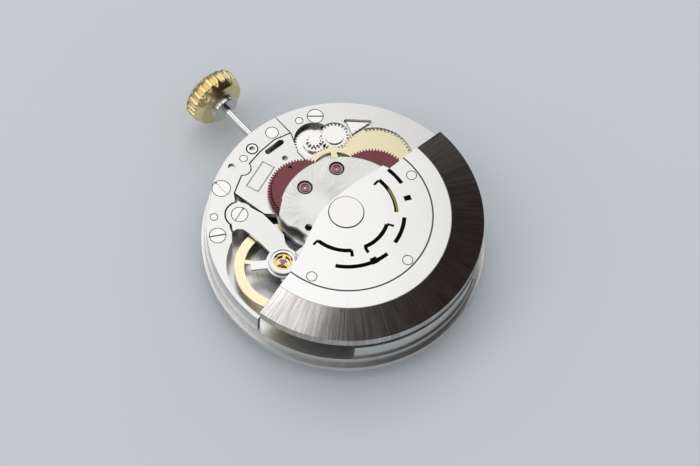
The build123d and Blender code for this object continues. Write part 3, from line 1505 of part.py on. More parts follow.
with BuildPart() as rotor_cap:
    post((0.0, 0.0), rotor_top, rotor_top + hub_cap_height, hub_cap_radius)
    fillet(rotor_cap.edges().group_by(Axis.Z)[-1], hub_cap_height * cap_round_share)
    for angle in rotor_rivet_angles:
        post(polar(rotor_rivet_circle, angle), rotor_level, rotor_top, rotor_rivet_radius)
save(rotor_cap.part, "rotor_cap")

# Hand setting and motion work on the dial side
with BuildPart() as cannon_pinion:
    solid_gear(cannon_gear, motion_gear_level, motion_gear_thickness, centre_tube_radius)
    post((0.0, 0.0), cannon_bottom, hour_pipe_bottom, cannon_radius, bore=centre_tube_radius)
    post((0.0, 0.0), hour_pipe_bottom, motion_gear_level, cannon_body_radius, bore=centre_tube_radius)
save(cannon_pinion.part, "cannon_pinion")

with BuildPart() as hour_wheel:
    hour_bore = cannon_body_radius + running_gap
    solid_gear(hour_gear, calendar_gear_level, calendar_gear_thickness, hour_bore)
    post((0.0, 0.0), hour_pipe_bottom, calendar_gear_level, hour_pipe_radius, bore=hour_bore)
save(hour_wheel.part, "hour_wheel")

with BuildPart() as minute_wheel:
    solid_gear(minute_gear, motion_gear_level, motion_gear_thickness, stud_post_radius + running_gap)
    solid_gear(
        minute_pinion, calendar_gear_level, motion_gear_level - calendar_gear_level,
        stud_post_radius + running_gap,
    )
save(minute_wheel.part, "minute_wheel")

with BuildPart() as intermediate_wheel:
    solid_gear(intermediate_gear, motion_gear_level, motion_gear_thickness, stud_post_radius + running_gap)
save(intermediate_wheel.part, "intermediate_wheel")

with BuildPart() as setting_wheel:
    solid_gear(setting_gear, motion_gear_level, motion_gear_thickness)
    solid_gear(setting_gear, setting_wheel_level, setting_wheel_thickness)
    post(setting_place, motion_gear_level, setting_wheel_level, setting_arbor_radius)
save(setting_wheel.part, "setting_wheel")


def flat_lever(pivot, tip, tip_radius, pin_top):
    """A flat lever on a stud, with a round head, a straight arm and a pin at its tip."""
    with BuildSketch(at(pivot, lever_level)) as arm:
        Circle(lever_head_radius)
        reach = apart(pivot, tip)
        turn = heading(pivot, tip)
        with Locations(polar(reach / 2, turn)):
            Rectangle(reach, 2 * tip_radius, rotation=turn)
        with Locations(polar(reach, turn)):
            Circle(tip_radius)
        Circle(stud_post_radius + running_gap, mode=Mode.SUBTRACT)
    extrude(arm.sketch, amount=lever_thickness)
    if pin_top:
        post(tip, lever_level + lever_thickness, pin_top, lever_pin_radius)


with BuildPart() as setting_lever:
    flat_lever(
        lever_pivot, (stem_neck_x, 0.0), lever_width / 2, stem_level - stem_neck_radius - 2 * running_gap
    )
save(setting_lever.part, "setting_lever")

with BuildPart() as yoke:
    flat_lever(
        yoke_pivot, (clutch_groove_x, 0.0), lever_width / 2,
        stem_level - clutch_groove_radius - 2 * running_gap,
    )
save(yoke.part, "yoke")

with BuildPart() as lever_spring:
    with BuildSketch(at(lever_spring_foot, lever_level)) as blade:
        Circle(lever_spring_foot_radius)
        with Locations(polar(lever_spring_length / 2, lever_spring_turn)):
            Rectangle(lever_spring_length, lever_spring_width, rotation=lever_spring_turn)
        Circle(calendar_screw_shank, mode=Mode.SUBTRACT)
    extrude(blade.sketch, amount=motion_recess_depth - lever_level)
save(lever_spring.part, "setting_lever_spring")

# Calendar: date ring with inner teeth, its drive, the jumper and the cover plate
with BuildPart() as date_ring:
    date_tooth = (
        (date_ring_root, -date_tooth_root_share), (date_ring_inner, -date_tooth_tip_share),
        (date_ring_inner, date_tooth_tip_share), (date_ring_root, date_tooth_root_share),
    )
    ring_gear_points = [
        polar(radius, (n + share) * 360 / date_ring_teeth)
        for n in range(date_ring_teeth)
        for radius, share in date_tooth
    ]
    with BuildSketch(Plane.XY.offset(date_ring_level)) as ring:
        Circle(date_ring_outer)
        with BuildLine() as outline:
            Polyline(*ring_gear_points, close=True)
        make_face(outline.edges(), mode=Mode.SUBTRACT)
    extrude(ring.sketch, amount=date_ring_thickness)
save(date_ring.part, "date_ring")

with BuildPart() as date_idler_wheel:
    solid_gear(date_idler, calendar_gear_level, calendar_gear_thickness, stud_post_radius + running_gap)
save(date_idler_wheel.part, "date_idler_wheel")

with BuildPart() as date_driving_wheel:
    spoked_gear(
        date_gear, calendar_gear_level, calendar_gear_thickness, wheel_rim, date_hub_radius, date_spoke,
        wheel_spokes, stud_post_radius + running_gap,
    )
    with BuildSketch(at(date_wheel_place, calendar_gear_level)) as finger:
        with Locations(polar((date_gear.root + date_finger_reach) / 2, date_finger_turn)):
            Rectangle(date_finger_reach - date_gear.root, date_finger_width, rotation=date_finger_turn)
    extrude(finger.sketch, amount=calendar_gear_thickness)
save(date_driving_wheel.part, "date_driving_wheel")

with BuildPart() as date_jumper:
    with BuildSketch(at(jumper_pivot, date_ring_level)) as arm:
        Circle(lever_head_radius)
        jumper_reach = apart(jumper_pivot, jumper_tip)
        jumper_turn = heading(jumper_pivot, jumper_tip)
        with Locations(polar(jumper_reach / 2, jumper_turn)):
            Rectangle(jumper_reach, jumper_width, rotation=jumper_turn)
        Circle(stud_post_radius + running_gap, mode=Mode.SUBTRACT)
    extrude(arm.sketch, amount=calendar_gear_thickness)
save(date_jumper.part, "date_jumper")

with BuildPart() as calendar_plate:
    post((0.0, 0.0), 0, calendar_plate_thickness, calendar_plate_radius, bore=calendar_centre_hole)
    for place in sized(calendar_post_shares):
        pocket(place, 0, calendar_plate_thickness, calendar_screw_shank)
save(calendar_plate.part, "calendar_plate")

# Bearing stones of every arbor, and the cap stone of the balance
with BuildPart() as bearing_jewels:
    for place, top in bearing_sites + ((reverser_a.place, bridge_top), (reducer_place, recess_floor)):
        jewel(place, top - jewel_height, top, small_jewel_radius, pivot_radius + fit_gap)
    for place in train_jewel_places[:-1]:
        jewel(place, train_bearing, train_bridge_top, small_jewel_radius, pivot_radius + fit_gap)
    jewel((0.0, 0.0), train_bearing, train_bridge_top, small_jewel_radius, seconds_radius + fit_gap)
    for place in (reverser_a.place, reducer_place, reverser_b.place):
        jewel(place, upper_bearing, upper_bearing + jewel_height, small_jewel_radius, pivot_radius + fit_gap)
    post(balance_place, bridge_top, bridge_top + cap_jewel_height, cap_jewel_radius)
save(bearing_jewels.part, "bearing_jewels")
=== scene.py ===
import json
import math

import bmesh
import bpy
import numpy as np
from mathutils import Matrix, Vector

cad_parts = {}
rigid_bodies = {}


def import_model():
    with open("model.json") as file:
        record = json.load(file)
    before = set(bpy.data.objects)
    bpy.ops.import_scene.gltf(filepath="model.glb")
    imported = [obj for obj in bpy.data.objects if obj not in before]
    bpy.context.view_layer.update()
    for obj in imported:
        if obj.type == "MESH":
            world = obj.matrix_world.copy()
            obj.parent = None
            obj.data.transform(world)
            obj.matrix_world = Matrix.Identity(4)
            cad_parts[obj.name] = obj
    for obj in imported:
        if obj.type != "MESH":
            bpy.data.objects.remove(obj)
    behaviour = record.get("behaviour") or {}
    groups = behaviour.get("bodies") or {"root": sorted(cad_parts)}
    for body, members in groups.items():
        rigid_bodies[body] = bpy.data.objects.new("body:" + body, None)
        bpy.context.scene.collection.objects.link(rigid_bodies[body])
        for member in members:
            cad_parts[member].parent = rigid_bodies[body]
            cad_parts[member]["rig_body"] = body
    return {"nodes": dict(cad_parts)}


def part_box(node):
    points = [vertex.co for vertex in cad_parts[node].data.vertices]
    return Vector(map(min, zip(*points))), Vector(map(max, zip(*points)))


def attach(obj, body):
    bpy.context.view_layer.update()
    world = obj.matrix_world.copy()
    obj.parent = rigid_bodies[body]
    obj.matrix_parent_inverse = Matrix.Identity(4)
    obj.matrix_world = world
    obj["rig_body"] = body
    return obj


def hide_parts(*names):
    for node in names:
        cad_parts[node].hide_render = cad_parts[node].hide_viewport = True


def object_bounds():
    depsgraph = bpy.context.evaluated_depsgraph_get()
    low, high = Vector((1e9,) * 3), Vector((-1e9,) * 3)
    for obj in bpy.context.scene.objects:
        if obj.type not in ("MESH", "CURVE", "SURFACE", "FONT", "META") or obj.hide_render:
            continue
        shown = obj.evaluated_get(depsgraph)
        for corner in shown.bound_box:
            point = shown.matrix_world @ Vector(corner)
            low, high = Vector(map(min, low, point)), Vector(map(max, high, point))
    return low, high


# The looks of a self-winding watch movement, made in metres.
# The dictionaries hold millimetres and degrees, except where a note says otherwise.

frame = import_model()
nodes = frame["nodes"]
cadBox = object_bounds()
scene = bpy.context.scene
mm = 0.001
perMetre = 1000  # millimetres
print("frame loaded:", len(nodes), "nodes")

# the camera of the photograph
view = {
    "target": (0.0, 0.0, 6.05),  # the top of the rotor's hub
    "eye": (54.31, -59.53, 148.24),  # counted from the target
    "roll": 6.4575,
    "lens": 88.909,
    "sensor": 36,
    "shift": (0.00522, -0.03033),  # shares of the picture's width
    "clip": (0.01, 10),  # in metres
}


def addCamera(values):
    # right and up are turned by the roll about the line of sight
    eye = Vector(values["eye"])
    back = eye.normalized()
    right = Vector((0, 0, 1)).cross(back).normalized()
    up = back.cross(right)
    roll = math.radians(values["roll"])
    turnedRight = right * math.cos(roll) + up * math.sin(roll)
    turnedUp = up * math.cos(roll) - right * math.sin(roll)
    axes = Matrix((turnedRight, turnedUp, back)).transposed().to_4x4()
    camera = bpy.data.objects.new("camera", bpy.data.cameras.new("camera"))
    camera.data.sensor_width = values["sensor"]
    camera.data.lens = values["lens"]
    camera.data.shift_x, camera.data.shift_y = values["shift"]
    camera.data.clip_start, camera.data.clip_end = values["clip"]
    camera.matrix_world = Matrix.Translation((Vector(values["target"]) + eye) * mm) @ axes
    scene.collection.objects.link(camera)
    scene.camera = camera


addCamera(view)
scene.view_settings.view_transform = "Standard"
print("camera placed")


class Wire:
    # one output socket of a finish; arithmetic on it adds Math nodes
    def __init__(self, finish, socket):
        self.finish = finish
        self.socket = socket

    def maths(self, operation, *values):
        return self.finish.node("ShaderNodeMath", {"operation": operation}, dict(enumerate(values)))

    def __add__(self, other):
        return self.maths("ADD", self, other)

    def __sub__(self, other):
        return self.maths("SUBTRACT", self, other)

    def __rsub__(self, other):
        return self.maths("SUBTRACT", other, self)

    def __mul__(self, other):
        return self.maths("MULTIPLY", self, other)

    def __truediv__(self, other):
        return self.maths("DIVIDE", self, other)

    __radd__ = __add__
    __rmul__ = __mul__

    def root(self):
        return self.maths("SQRT", self)

    def sine(self):
        return self.maths("SINE", self)

    def size(self):
        return self.maths("ABSOLUTE", self)

    def larger(self, other):
        return self.maths("MAXIMUM", self, other)

    def smaller(self, other):
        return self.maths("MINIMUM", self, other)

    def step(self, low, high):
        # 0 below low, 1 above high, and a smooth rise between them; inputs 3 and 4 are those two ends
        settings = {"interpolation_type": "SMOOTHSTEP"}
        return self.finish.node("ShaderNodeMapRange", settings, {0: self, 1: low, 2: high, 3: 0.0, 4: 1.0})

    def between(self, rise, fall):
        # 1 from the end of the rise to the start of the fall, and 0 outside them
        return self.step(*rise) * (1 - self.step(*fall))


metallic = {"Metallic": 1.0}


class Finish:
    # a material being made, or a world
    def __init__(self, name, kind="materials"):
        self.owner = getattr(bpy.data, kind).new(name)
        self.owner.use_nodes = True
        self.tree = self.owner.node_tree
        self.tree.nodes.clear()

    def node(self, kind, settings, inputs, out=0):
        made = self.tree.nodes.new(kind)
        for key, value in settings.items():
            setattr(made, key, value)
        for key, value in inputs.items():
            if isinstance(value, Wire):
                self.tree.links.new(value.socket, made.inputs[key])
            else:
                made.inputs[key].default_value = value
        return Wire(self, made.outputs[out])

    def place(self, centre=(0, 0, 0), turn=0.0):
        # object coordinates in millimetres, counted from centre and turned about the vertical
        spot = self.node("ShaderNodeTexCoord", {}, {}, "Object")
        shifted = self.node("ShaderNodeMapping", {}, {
            "Vector": spot, "Scale": (perMetre, perMetre, perMetre), "Location": [-c for c in centre],
        })
        if not turn:
            return shifted
        turned = {"Vector": shifted, "Rotation": (0, 0, -math.radians(turn))}
        return self.node("ShaderNodeMapping", {}, turned)

    def split(self, vector):
        made = self.node("ShaderNodeSeparateXYZ", {}, {0: vector}).socket.node
        return [Wire(self, made.outputs[k]) for k in range(3)]

    def join(self, x, y, z):
        return self.node("ShaderNodeCombineXYZ", {}, {0: x, 1: y, 2: z})

    def noise(self, vector, scale, detail, roughness=0.5):
        return self.node("ShaderNodeTexNoise", {}, {
            "Vector": vector, "Scale": scale, "Detail": detail, "Roughness": roughness,
        })

    def blend(self, factor, first, second):
        # a colour between two, by factor; inputs 6 and 7 and output 2 are the Mix node's colours
        return self.node("ShaderNodeMix", {"data_type": "RGBA"}, {0: factor, 6: first, 7: second}, 2)

    def bump(self, height, depth):
        # depth is the height's full size in metres
        return self.node("ShaderNodeBump", {}, {"Strength": 1.0, "Distance": depth, "Height": height})

    def surface(self, colour, roughness, normal=None, sockets=metallic):
        # sockets holds what is the same all over
        inputs = {"Base Color": colour, "Roughness": roughness, **sockets}
        if normal:
            inputs["Normal"] = normal
        return self.close(self.node("ShaderNodeBsdfPrincipled", {}, inputs))

    def close(self, shader, end="ShaderNodeOutputMaterial"):
        self.tree.links.new(shader.socket, self.tree.nodes.new(end).inputs[0])
        return self.owner


# Grains are heights from 0 to 1: noise that changes quickly one way and slowly the other.
graining = {
    "noise": (1.0, 3.0, 0.6),  # scale, detail, roughness
    "along": 0.35, "round": 0.6, "outwards": 0.25,  # how slowly straight, circular and fanned lines change
    "pole": 0.001,  # added to a radius, so that nothing is divided by zero
    "fade": (0.5, 2.6),  # the radii over which a fan sets in, because its lines would crowd at the centre
}


def straightGrain(finish, turn, fine):
    # noise drawn out along one line
    x, y, z = finish.split(finish.place(turn=turn))
    return finish.noise(finish.join(x * graining["along"], y * fine, z), *graining["noise"])


def circularGrain(finish, centre, fine):
    # noise that runs in circles round centre: it changes quickly with the radius
    x, y, z = finish.split(finish.place(centre))
    radius = (x * x + y * y).root() + graining["pole"]
    slow = graining["round"]
    return finish.noise(finish.join(radius * fine, x / radius * slow, y / radius * slow), *graining["noise"])


def fanGrain(finish, centre, fine):
    # noise that runs out from centre: it changes quickly with the angle
    x, y, z = finish.split(finish.place(centre))
    radius = (x * x + y * y).root() + graining["pole"]
    spot = finish.join(x / radius * fine, y / radius * fine, radius * graining["outwards"])
    return (finish.noise(spot, *graining["noise"]) - 0.5) * radius.step(*graining["fade"]) + 0.5


pearling = {"waves": 0.6, "domes": 0.8}  # shares of the height


def pearlGrain(finish, pitch, rings):
    # overlapping spots on a lattice: the distance to the nearest middle, and fine waves of it
    spot = finish.node("ShaderNodeTexVoronoi", {"voronoi_dimensions": "2D"}, {
        "Vector": finish.place(), "Scale": 1 / pitch, "Randomness": 0.0,
    })
    waves = (spot * rings).sine() * 0.5 + 0.5
    return waves * pearling["waves"] + spot * pearling["domes"]


def wornColour(finish, grain, values):
    # from shade to colour, by the grain and by broad patches
    patches = finish.noise(finish.place(), *values["patches"])
    share = patches * values["patchShare"] + grain * (1 - values["patchShare"])
    return finish.blend(share, values["shade"], values["colour"])


def speckle(finish, values):
    # a noise, and the colour and the roughness that follow it
    noise = finish.noise(finish.place(), *values["noise"])
    colour = finish.blend(noise, values["shade"], values["colour"])
    return noise, colour, noise * values["spread"] + values["roughness"]


# rhodium plate: a warm white metal with a satin grain, a little duller in patches
plating = {
    "colour": (0.89, 0.885, 0.865, 1), "shade": (0.80, 0.795, 0.775, 1),
    "patches": (0.35, 3.0), "patchShare": 0.6, "roughness": 0.27, "spread": 0.09,
    "grainDepth": 2.2e-6,  # depths are in metres
}


def platedFinish(name, grainOf, lay, depth=1.0, rough=0.0, span=None):
    # lay holds the grain's own values; a span makes the grain bolder
    finish = Finish(name)
    grain = grainOf(finish, **lay)
    if span:
        grain = grain.step(*span)
    roughness = grain * plating["spread"] + (plating["roughness"] + rough)
    bump = finish.bump(grain, plating["grainDepth"] * depth)
    return finish.surface(wornColour(finish, grain, plating), roughness, bump)


engraving = {
    "centre": (-9.2, -3.1, 0), "turn": -71.0, "half": (1.6, 0.66), "line": (0.025, 0.07),
    "colour": (0.30, 0.29, 0.27, 1), "lineDarkness": 0.7, "depth": 1.6e-5, "grainShare": 0.12,
}


def engravedFinish(name, grainOf, lay):
    # plating with one bare frame cut into it, drawn darker: a line at an even distance from a box
    finish = Finish(name)
    grain = grainOf(finish, **lay)
    x, y, z = finish.split(finish.place(engraving["centre"], engraving["turn"]))
    edge = (x.size() - engraving["half"][0]).larger(y.size() - engraving["half"][1])
    line = 1 - edge.size().step(*engraving["line"])
    colour = finish.blend(line * engraving["lineDarkness"], wornColour(finish, grain, plating), engraving["colour"])
    height = grain * engraving["grainShare"] + (1 - line)
    roughness = grain * plating["spread"] + plating["roughness"]
    return finish.surface(colour, roughness, finish.bump(height, engraving["depth"]))


steel = {
    "colour": (0.84, 0.83, 0.81, 1), "shade": (0.76, 0.75, 0.74, 1), "noise": (0.9, 2.0),
    "roughness": 0.17, "spread": 0.07, "fine": 14.0, "grainDepth": 3e-7,
}


def steelFinish(name, centre=(0, 0, 0)):
    # polished steel with hair-fine turning marks
    finish = Finish(name)
    marks, colour, roughness = speckle(finish, steel)
    grain = circularGrain(finish, centre, steel["fine"])
    return finish.surface(colour, roughness, finish.bump(grain, steel["grainDepth"]))


gilding = {
    "colour": (0.93, 0.79, 0.50, 1), "shade": (0.84, 0.66, 0.35, 1),
    "patches": (0.8, 3.0), "patchShare": 0.5, "roughness": 0.26, "spread": 0.12,
    "fine": 16.0, "grainDepth": 1.4e-6,
}
paleGilding = {**gilding, "colour": (0.95, 0.87, 0.62, 1), "shade": (0.90, 0.79, 0.50, 1)}
balanceGilding = {
    **gilding, "colour": (0.95, 0.86, 0.62, 1), "shade": (0.86, 0.74, 0.46, 1), "roughness": 0.18,
}
springGilding = {
    **gilding, "colour": (0.90, 0.70, 0.28, 1), "shade": (0.72, 0.50, 0.16, 1), "roughness": 0.14,
}
# purple-red oxide on aluminium, worn darker in fine rings
anodising = {
    "colour": (0.30, 0.105, 0.115, 1), "shade": (0.20, 0.065, 0.075, 1),
    "patches": (1.1, 3.0), "patchShare": 0.5, "roughness": 0.34, "spread": 0.12,
    "fine": 12.0, "grainDepth": 1.2e-6,
}


def turnedFinish(name, centre, values):
    # a coloured metal with turned grain round the wheel's own arbor
    finish = Finish(name)
    grain = circularGrain(finish, centre, values["fine"])
    roughness = grain * values["spread"] + values["roughness"]
    bump = finish.bump(grain, values["grainDepth"])
    return finish.surface(wornColour(finish, grain, values), roughness, bump)


brushing = {
    "rims": (8.5, 10.3), "blurs": (0.05, 0.03),  # where the bright ring and the weight begin, and how softly
    "plate": (0.87, 0.865, 0.845, 1), "ring": (0.88, 0.88, 0.87, 1), "weight": (0.80, 0.79, 0.77, 1),
    "fine": 95.0, "broad": 26.0, "fineShare": 0.7,
    "streak": (0.52, 0.48, 0.44, 1), "streakSpan": (0.36, 0.62),
    # groove: the distances from the first rim over which the groove's painted shade fades out; its
    # near-black colour is painted shade
    "groove": (0.045, 0.11), "grooveShade": (0.02, 0.016, 0.014, 1), "grooveShadeShare": 0.93,
    "roughness": 0.22, "weightRoughness": 0.13, "spread": 0.08,
    "depth": 3.2e-6, "innerDepth": 0.2,  # the depth inside the weight is a share of the weight's
    "slope": 6.0,
}


def rotorFinish(name, values):
    # three zones by radius: satin plate, bright ring, and a weight with deep brushing that runs outwards;
    # the groove before the ring is darkened almost to black as painted shade
    finish = Finish(name)
    x, y, z = finish.split(finish.place())
    radius = (x * x + y * y).root()
    fine = fanGrain(finish, (0, 0, 0), values["fine"])
    broad = fanGrain(finish, (0, 0, 0), values["broad"])
    rims = values["rims"]
    ring, weight = [radius.step(rim - blur, rim + blur) for rim, blur in zip(rims, values["blurs"])]
    streaks = (fine * values["fineShare"] + broad * (1 - values["fineShare"])).step(*values["streakSpan"])
    brushed = finish.blend(streaks, values["streak"], values["weight"])
    inner = finish.blend(ring, values["plate"], values["ring"])
    # painted shade: the groove's colour is mixed nearly all the way to near-black
    groove = 1 - (radius - rims[0]).size().step(*values["groove"])
    clean = finish.blend(weight, inner, brushed)
    colour = finish.blend(groove * values["grooveShadeShare"], clean, values["grooveShade"])
    calmer = values["weightRoughness"] - values["roughness"]
    roughness = weight * calmer + fine * values["spread"] + values["roughness"]
    # the weight's face falls away outwards: its height drops evenly with the radius
    fall = (radius - rims[1]).larger(0.0) * (-math.tan(math.radians(values["slope"])) * mm)
    depth = weight * (1 - values["innerDepth"]) + values["innerDepth"]
    height = fine * depth * values["depth"] + fall
    return finish.surface(colour, roughness, finish.bump(height * perMetre, mm))


gold = {
    "colour": (1.0, 0.86, 0.52, 1), "shade": (0.93, 0.72, 0.34, 1), "noise": (2.2, 5.0, 0.7),
    "roughness": 0.17, "spread": 0.12, "depth": 1.2e-6, "collar": (-18.99, -18.98),
}


def goldFinish(name, values):
    # polished yellow gold with faint handling marks; the collar towards the movement is bare steel
    finish = Finish(name)
    marks, colour, roughness = speckle(finish, values)
    x, y, z = finish.split(finish.place())
    bare = finish.blend(marks, steel["shade"], steel["colour"])
    colour = finish.blend(x.step(*values["collar"]), colour, bare)
    return finish.surface(colour, roughness, finish.bump(marks, values["depth"]))


settingShadeRings = {
    "centres": ((-4.886, -1.06), (-4.465, 2.767)), "black": (0.018, 0.013, 0.014, 1),
    "mauve": (0.42, 0.27, 0.31, 1), "noise": (9.0, 3.0), "mauveLeast": 0.7, "spread": 0.15, "roughness": 0.2,
    "land": ((0.36, 0.42), (0.60, 0.64)),  # the radii where its inner edge and its outer edge begin and end
}


def settingFinish(name, values):
    # stone settings with painted shade: a dark line round the stone, a mauve land and a black outer ring;
    # the dark line and the black ring are painted shade of the gap and the recess
    finish = Finish(name)
    x, y, z = finish.split(finish.place())
    nearest = None
    for centreX, centreY in values["centres"]:
        offX, offY = x - centreX, y - centreY
        reach = (offX * offX + offY * offY).root()
        nearest = nearest.smaller(reach) if nearest else reach
    grain = finish.noise(finish.place(), *values["noise"])
    share = grain * (1 - values["mauveLeast"]) + values["mauveLeast"]
    mauve = finish.blend(share, values["black"], values["mauve"])
    # painted shade: black inside the land's rise and outside its fall
    colour = finish.blend(nearest.between(*values["land"]), values["black"], mauve)
    return finish.surface(colour, grain * values["spread"] + values["roughness"])


shadow = {  # the painted shade of narrow gaps
    "colour": (0.028, 0.022, 0.02, 1), "shade": (0.008, 0.006, 0.006, 1), "noise": (3.0, 3.0),
    "roughness": 0.5, "spread": 0.2,
}
ruby = {  # clear red stone: dark body colour under a hard polish
    "colour": (0.62, 0.12, 0.20, 1), "shade": (0.36, 0.035, 0.085, 1), "noise": (2.5, 2.0),
    "roughness": 0.04, "spread": 0.05, "sockets": {"IOR": 1.77, "Coat Weight": 0.6},
}
alloy = {  # the hairspring's blued strip
    "colour": (0.50, 0.50, 0.52, 1), "shade": (0.30, 0.33, 0.40, 1), "noise": (1.4, 2.0),
    "roughness": 0.2, "spread": 0.1,
}
enamel = {  # the calendar ring's white paint
    "colour": (0.86, 0.85, 0.82, 1), "shade": (0.80, 0.79, 0.76, 1), "noise": (18.0, 2.0),
    "roughness": 0.35, "spread": 0.1, "sockets": {"Coat Weight": 0.3}, "depth": 6e-7,
}
ink = {
    "colour": (0.04, 0.04, 0.042, 1), "shade": (0.015, 0.015, 0.017, 1), "noise": (20.0, 2.0),
    "roughness": 0.45, "spread": 0.1, "sockets": {},
}


def speckledFinish(name, values):
    # a surface whose colour, roughness and height follow one noise
    finish = Finish(name)
    specks, colour, roughness = speckle(finish, values)
    normal = finish.bump(specks, values["depth"]) if "depth" in values else None
    return finish.surface(colour, roughness, normal, values.get("sockets", metallic))


def middle(node):
    # the middle of a node's box seen from above, in millimetres
    low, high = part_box(node)
    return ((low.x + high.x) / 2 / mm, (low.y + high.y) / 2 / mm, 0)


balanceCentre = middle("balance_staff")
frameCentre = (0, 0, 0)

finishes = {
    "main_plate": platedFinish("pearledPlate", pearlGrain, {"pitch": 1.1, "rings": 46.0}, depth=1.3),
    "train_bridge": platedFinish("pearledBridge", pearlGrain, {"pitch": 0.9, "rings": 40.0}),
    "pallet_bridge": platedFinish("grainedPalletBridge", straightGrain, {"turn": 30, "fine": 20.0}),
    "barrel_bridge": platedFinish(
        "grainedBarrelBridge", straightGrain, {"turn": 55, "fine": 16.0}, depth=0.5),
    "side_bridge": platedFinish(
        "grainedSideBridge", circularGrain, {"centre": frameCentre, "fine": 14.0}, depth=0.5),
    "lower_rotor_bridge": engravedFinish("engravedBridge", straightGrain, {"turn": 12, "fine": 16.0}),
    "upper_rotor_bridge": platedFinish(
        "fanBridge", fanGrain, {"centre": (-2.9, -1.6, 0), "fine": 46.0}, depth=2.2, span=(0.33, 0.67)),
    "balance_bridge": platedFinish(
        "grainedBalanceBridge", straightGrain, {"turn": -3, "fine": 16.0}, depth=0.5),
    "calendar_plate": platedFinish(
        "grainedCalendarPlate", circularGrain, {"centre": frameCentre, "fine": 9.0}, depth=1.2, rough=0.05),
    "rotor_plate": rotorFinish("brushedRotor", brushing),
    "crown": goldFinish("polishedGold", gold),
    "rotor_bridge_settings": settingFinish("shadedSettings", settingShadeRings),
    "balance_wheel": turnedFinish("gilt_balance", balanceCentre, balanceGilding),
    "shock_spring": turnedFinish("gilt_spring", balanceCentre, springGilding),
    "bearing_jewels": speckledFinish("ruby", ruby),
    "hairspring": speckledFinish("bluedAlloy", alloy),
    "date_ring": speckledFinish("enamel", enamel),
}
finishes["rotor_weight"] = finishes["rotor_plate"]
for node in (
    "mainspring_barrel", "centre_wheel", "third_wheel", "fourth_wheel", "minute_wheel",
    "date_idler_wheel", "date_driving_wheel", "hour_wheel", "cannon_pinion",
):
    finishes[node] = turnedFinish("gilt_" + node, middle(node), gilding)
for node in ("ratchet_wheel", "driving_wheel"):
    finishes[node] = turnedFinish("palegilt_" + node, middle(node), paleGilding)
for node in ("reversing_wheel_a", "reversing_wheel_b"):
    finishes[node] = turnedFinish("red_" + node, middle(node), anodising)
for node in (
    "winding_idler", "upper_winding_idler", "crown_wheel", "reversing_pinion_a", "reversing_pinion_b",
):
    finishes[node] = steelFinish("steel_" + node, middle(node))
plainSteel = steelFinish("polishedSteel")
for node, piece in nodes.items():
    finish = finishes.setdefault(node, plainSteel)
    piece.data.materials.clear()
    piece.data.materials.append(finish)
print("finishes made:", len(bpy.data.materials))

weld = 1e-8  # corners nearer than this are one, in metres


def rework(mesh, change):
    # opens a mesh for editing, makes one change and writes it back
    work = bmesh.new()
    work.from_mesh(mesh)
    change(work)
    work.to_mesh(mesh)
    work.free()


def closeSeams(work):
    bmesh.ops.remove_doubles(work, verts=work.verts, dist=weld)
    bmesh.ops.recalc_face_normals(work, faces=work.faces)


def faceUp(work):
    bmesh.ops.reverse_faces(work, faces=[face for face in work.faces if face.normal.z < 0])


def addPiece(name, vertices, faces, finish, body, replaced=()):
    # vertices in metres; the piece rides on a body and may replace nodes
    mesh = bpy.data.meshes.new(name)
    mesh.from_pydata(vertices.tolist(), [], faces)
    rework(mesh, closeSeams)
    mesh.materials.append(finish)
    piece = bpy.data.objects.new(name, mesh)
    scene.collection.objects.link(piece)
    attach(piece, body)
    if replaced:
        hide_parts(*replaced)
    return piece


def gridFaces(rows, columns, closed):
    # quads between neighbours of a grid, whose columns close on themselves where closed is true
    i, j = np.meshgrid(np.arange(rows - 1), np.arange(columns if closed else columns - 1), indexing="ij")
    k = (j + 1) % columns
    corners = [i * columns + j, i * columns + k, (i + 1) * columns + k, (i + 1) * columns + j]
    return np.stack(corners, -1).reshape(-1, 4)


def smoothen(mesh, angle):
    mesh.polygons.foreach_set("use_smooth", np.ones(len(mesh.polygons), bool))
    mesh.set_sharp_from_angle(angle=math.radians(angle))


crown = {
    "flutes": 20, "depth": 0.36, "sharpness": 2.2, "around": 600, "boreEnd": 1.60, "sharpAngle": 38,
    "profile": (  # distance from the outer face, radius, share of the flutes' depth
        (0.0, 0.0, 0), (0.0, 1.2, 0), (0.015, 1.9, 0), (0.07, 2.25, 0), (0.16, 2.42, 0), (0.20, 2.50, 0.1),
        (0.30, 2.72, 0.6), (0.45, 2.90, 0.9), (0.65, 2.99, 1), (0.90, 3.0, 1), (1.50, 3.0, 1),
        (1.68, 2.99, 1), (1.80, 2.95, 0.7), (1.90, 2.90, 0.15), (1.98, 2.86, 0), (2.54, 2.62, 0),
        (2.60, 2.55, 0), (2.60, 1.62, 0), (2.64, 1.55, 0), (3.32, 1.55, 0), (3.40, 1.47, 0), (3.40, 0.5, 0),
    ),
}


def makeCrown(values):
    # a profile turned about the stem and drawn in where a flute runs:
    # the radius less the depth times a narrowed cosine of the angle
    low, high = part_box("crown")
    outerFace = low.x / mm
    axis = (low.z + high.z) / 2 / mm
    profile = np.array(values["profile"])
    angle = np.linspace(0, 2 * np.pi, values["around"], endpoint=False)
    wave = (0.5 + 0.5 * np.cos(values["flutes"] * angle)) ** values["sharpness"]
    radius = profile[:, 1, None] - values["depth"] * profile[:, 2, None] * wave[None, :]
    x = np.repeat(outerFace + profile[:, 0, None], values["around"], 1)
    points = np.stack([x, radius * np.cos(angle), radius * np.sin(angle) + axis], -1)
    bore = points[-1].copy()
    bore[:, 0] = outerFace + values["boreEnd"]
    boreMiddle = np.repeat(bore.mean(0)[None], values["around"], 0)
    points = np.concatenate([points, bore[None], boreMiddle[None]]) * mm
    faces = gridFaces(len(points), values["around"], True).tolist()
    piece = addPiece(
        "crownFluted", points.reshape(-1, 3), faces, finishes["crown"], "stem", ("crown",))
    smoothen(piece.data, values["sharpAngle"])


makeCrown(crown)

spiral = {
    "inner": 0.70, "outer": 2.86, "turns": 11, "endAngle": -123.0, "thickness": 0.035, "height": 0.13,
    "rise": 0.005,  # above the solid spring's lower edge
    "steps": 1100, "sharpAngle": 35,
}


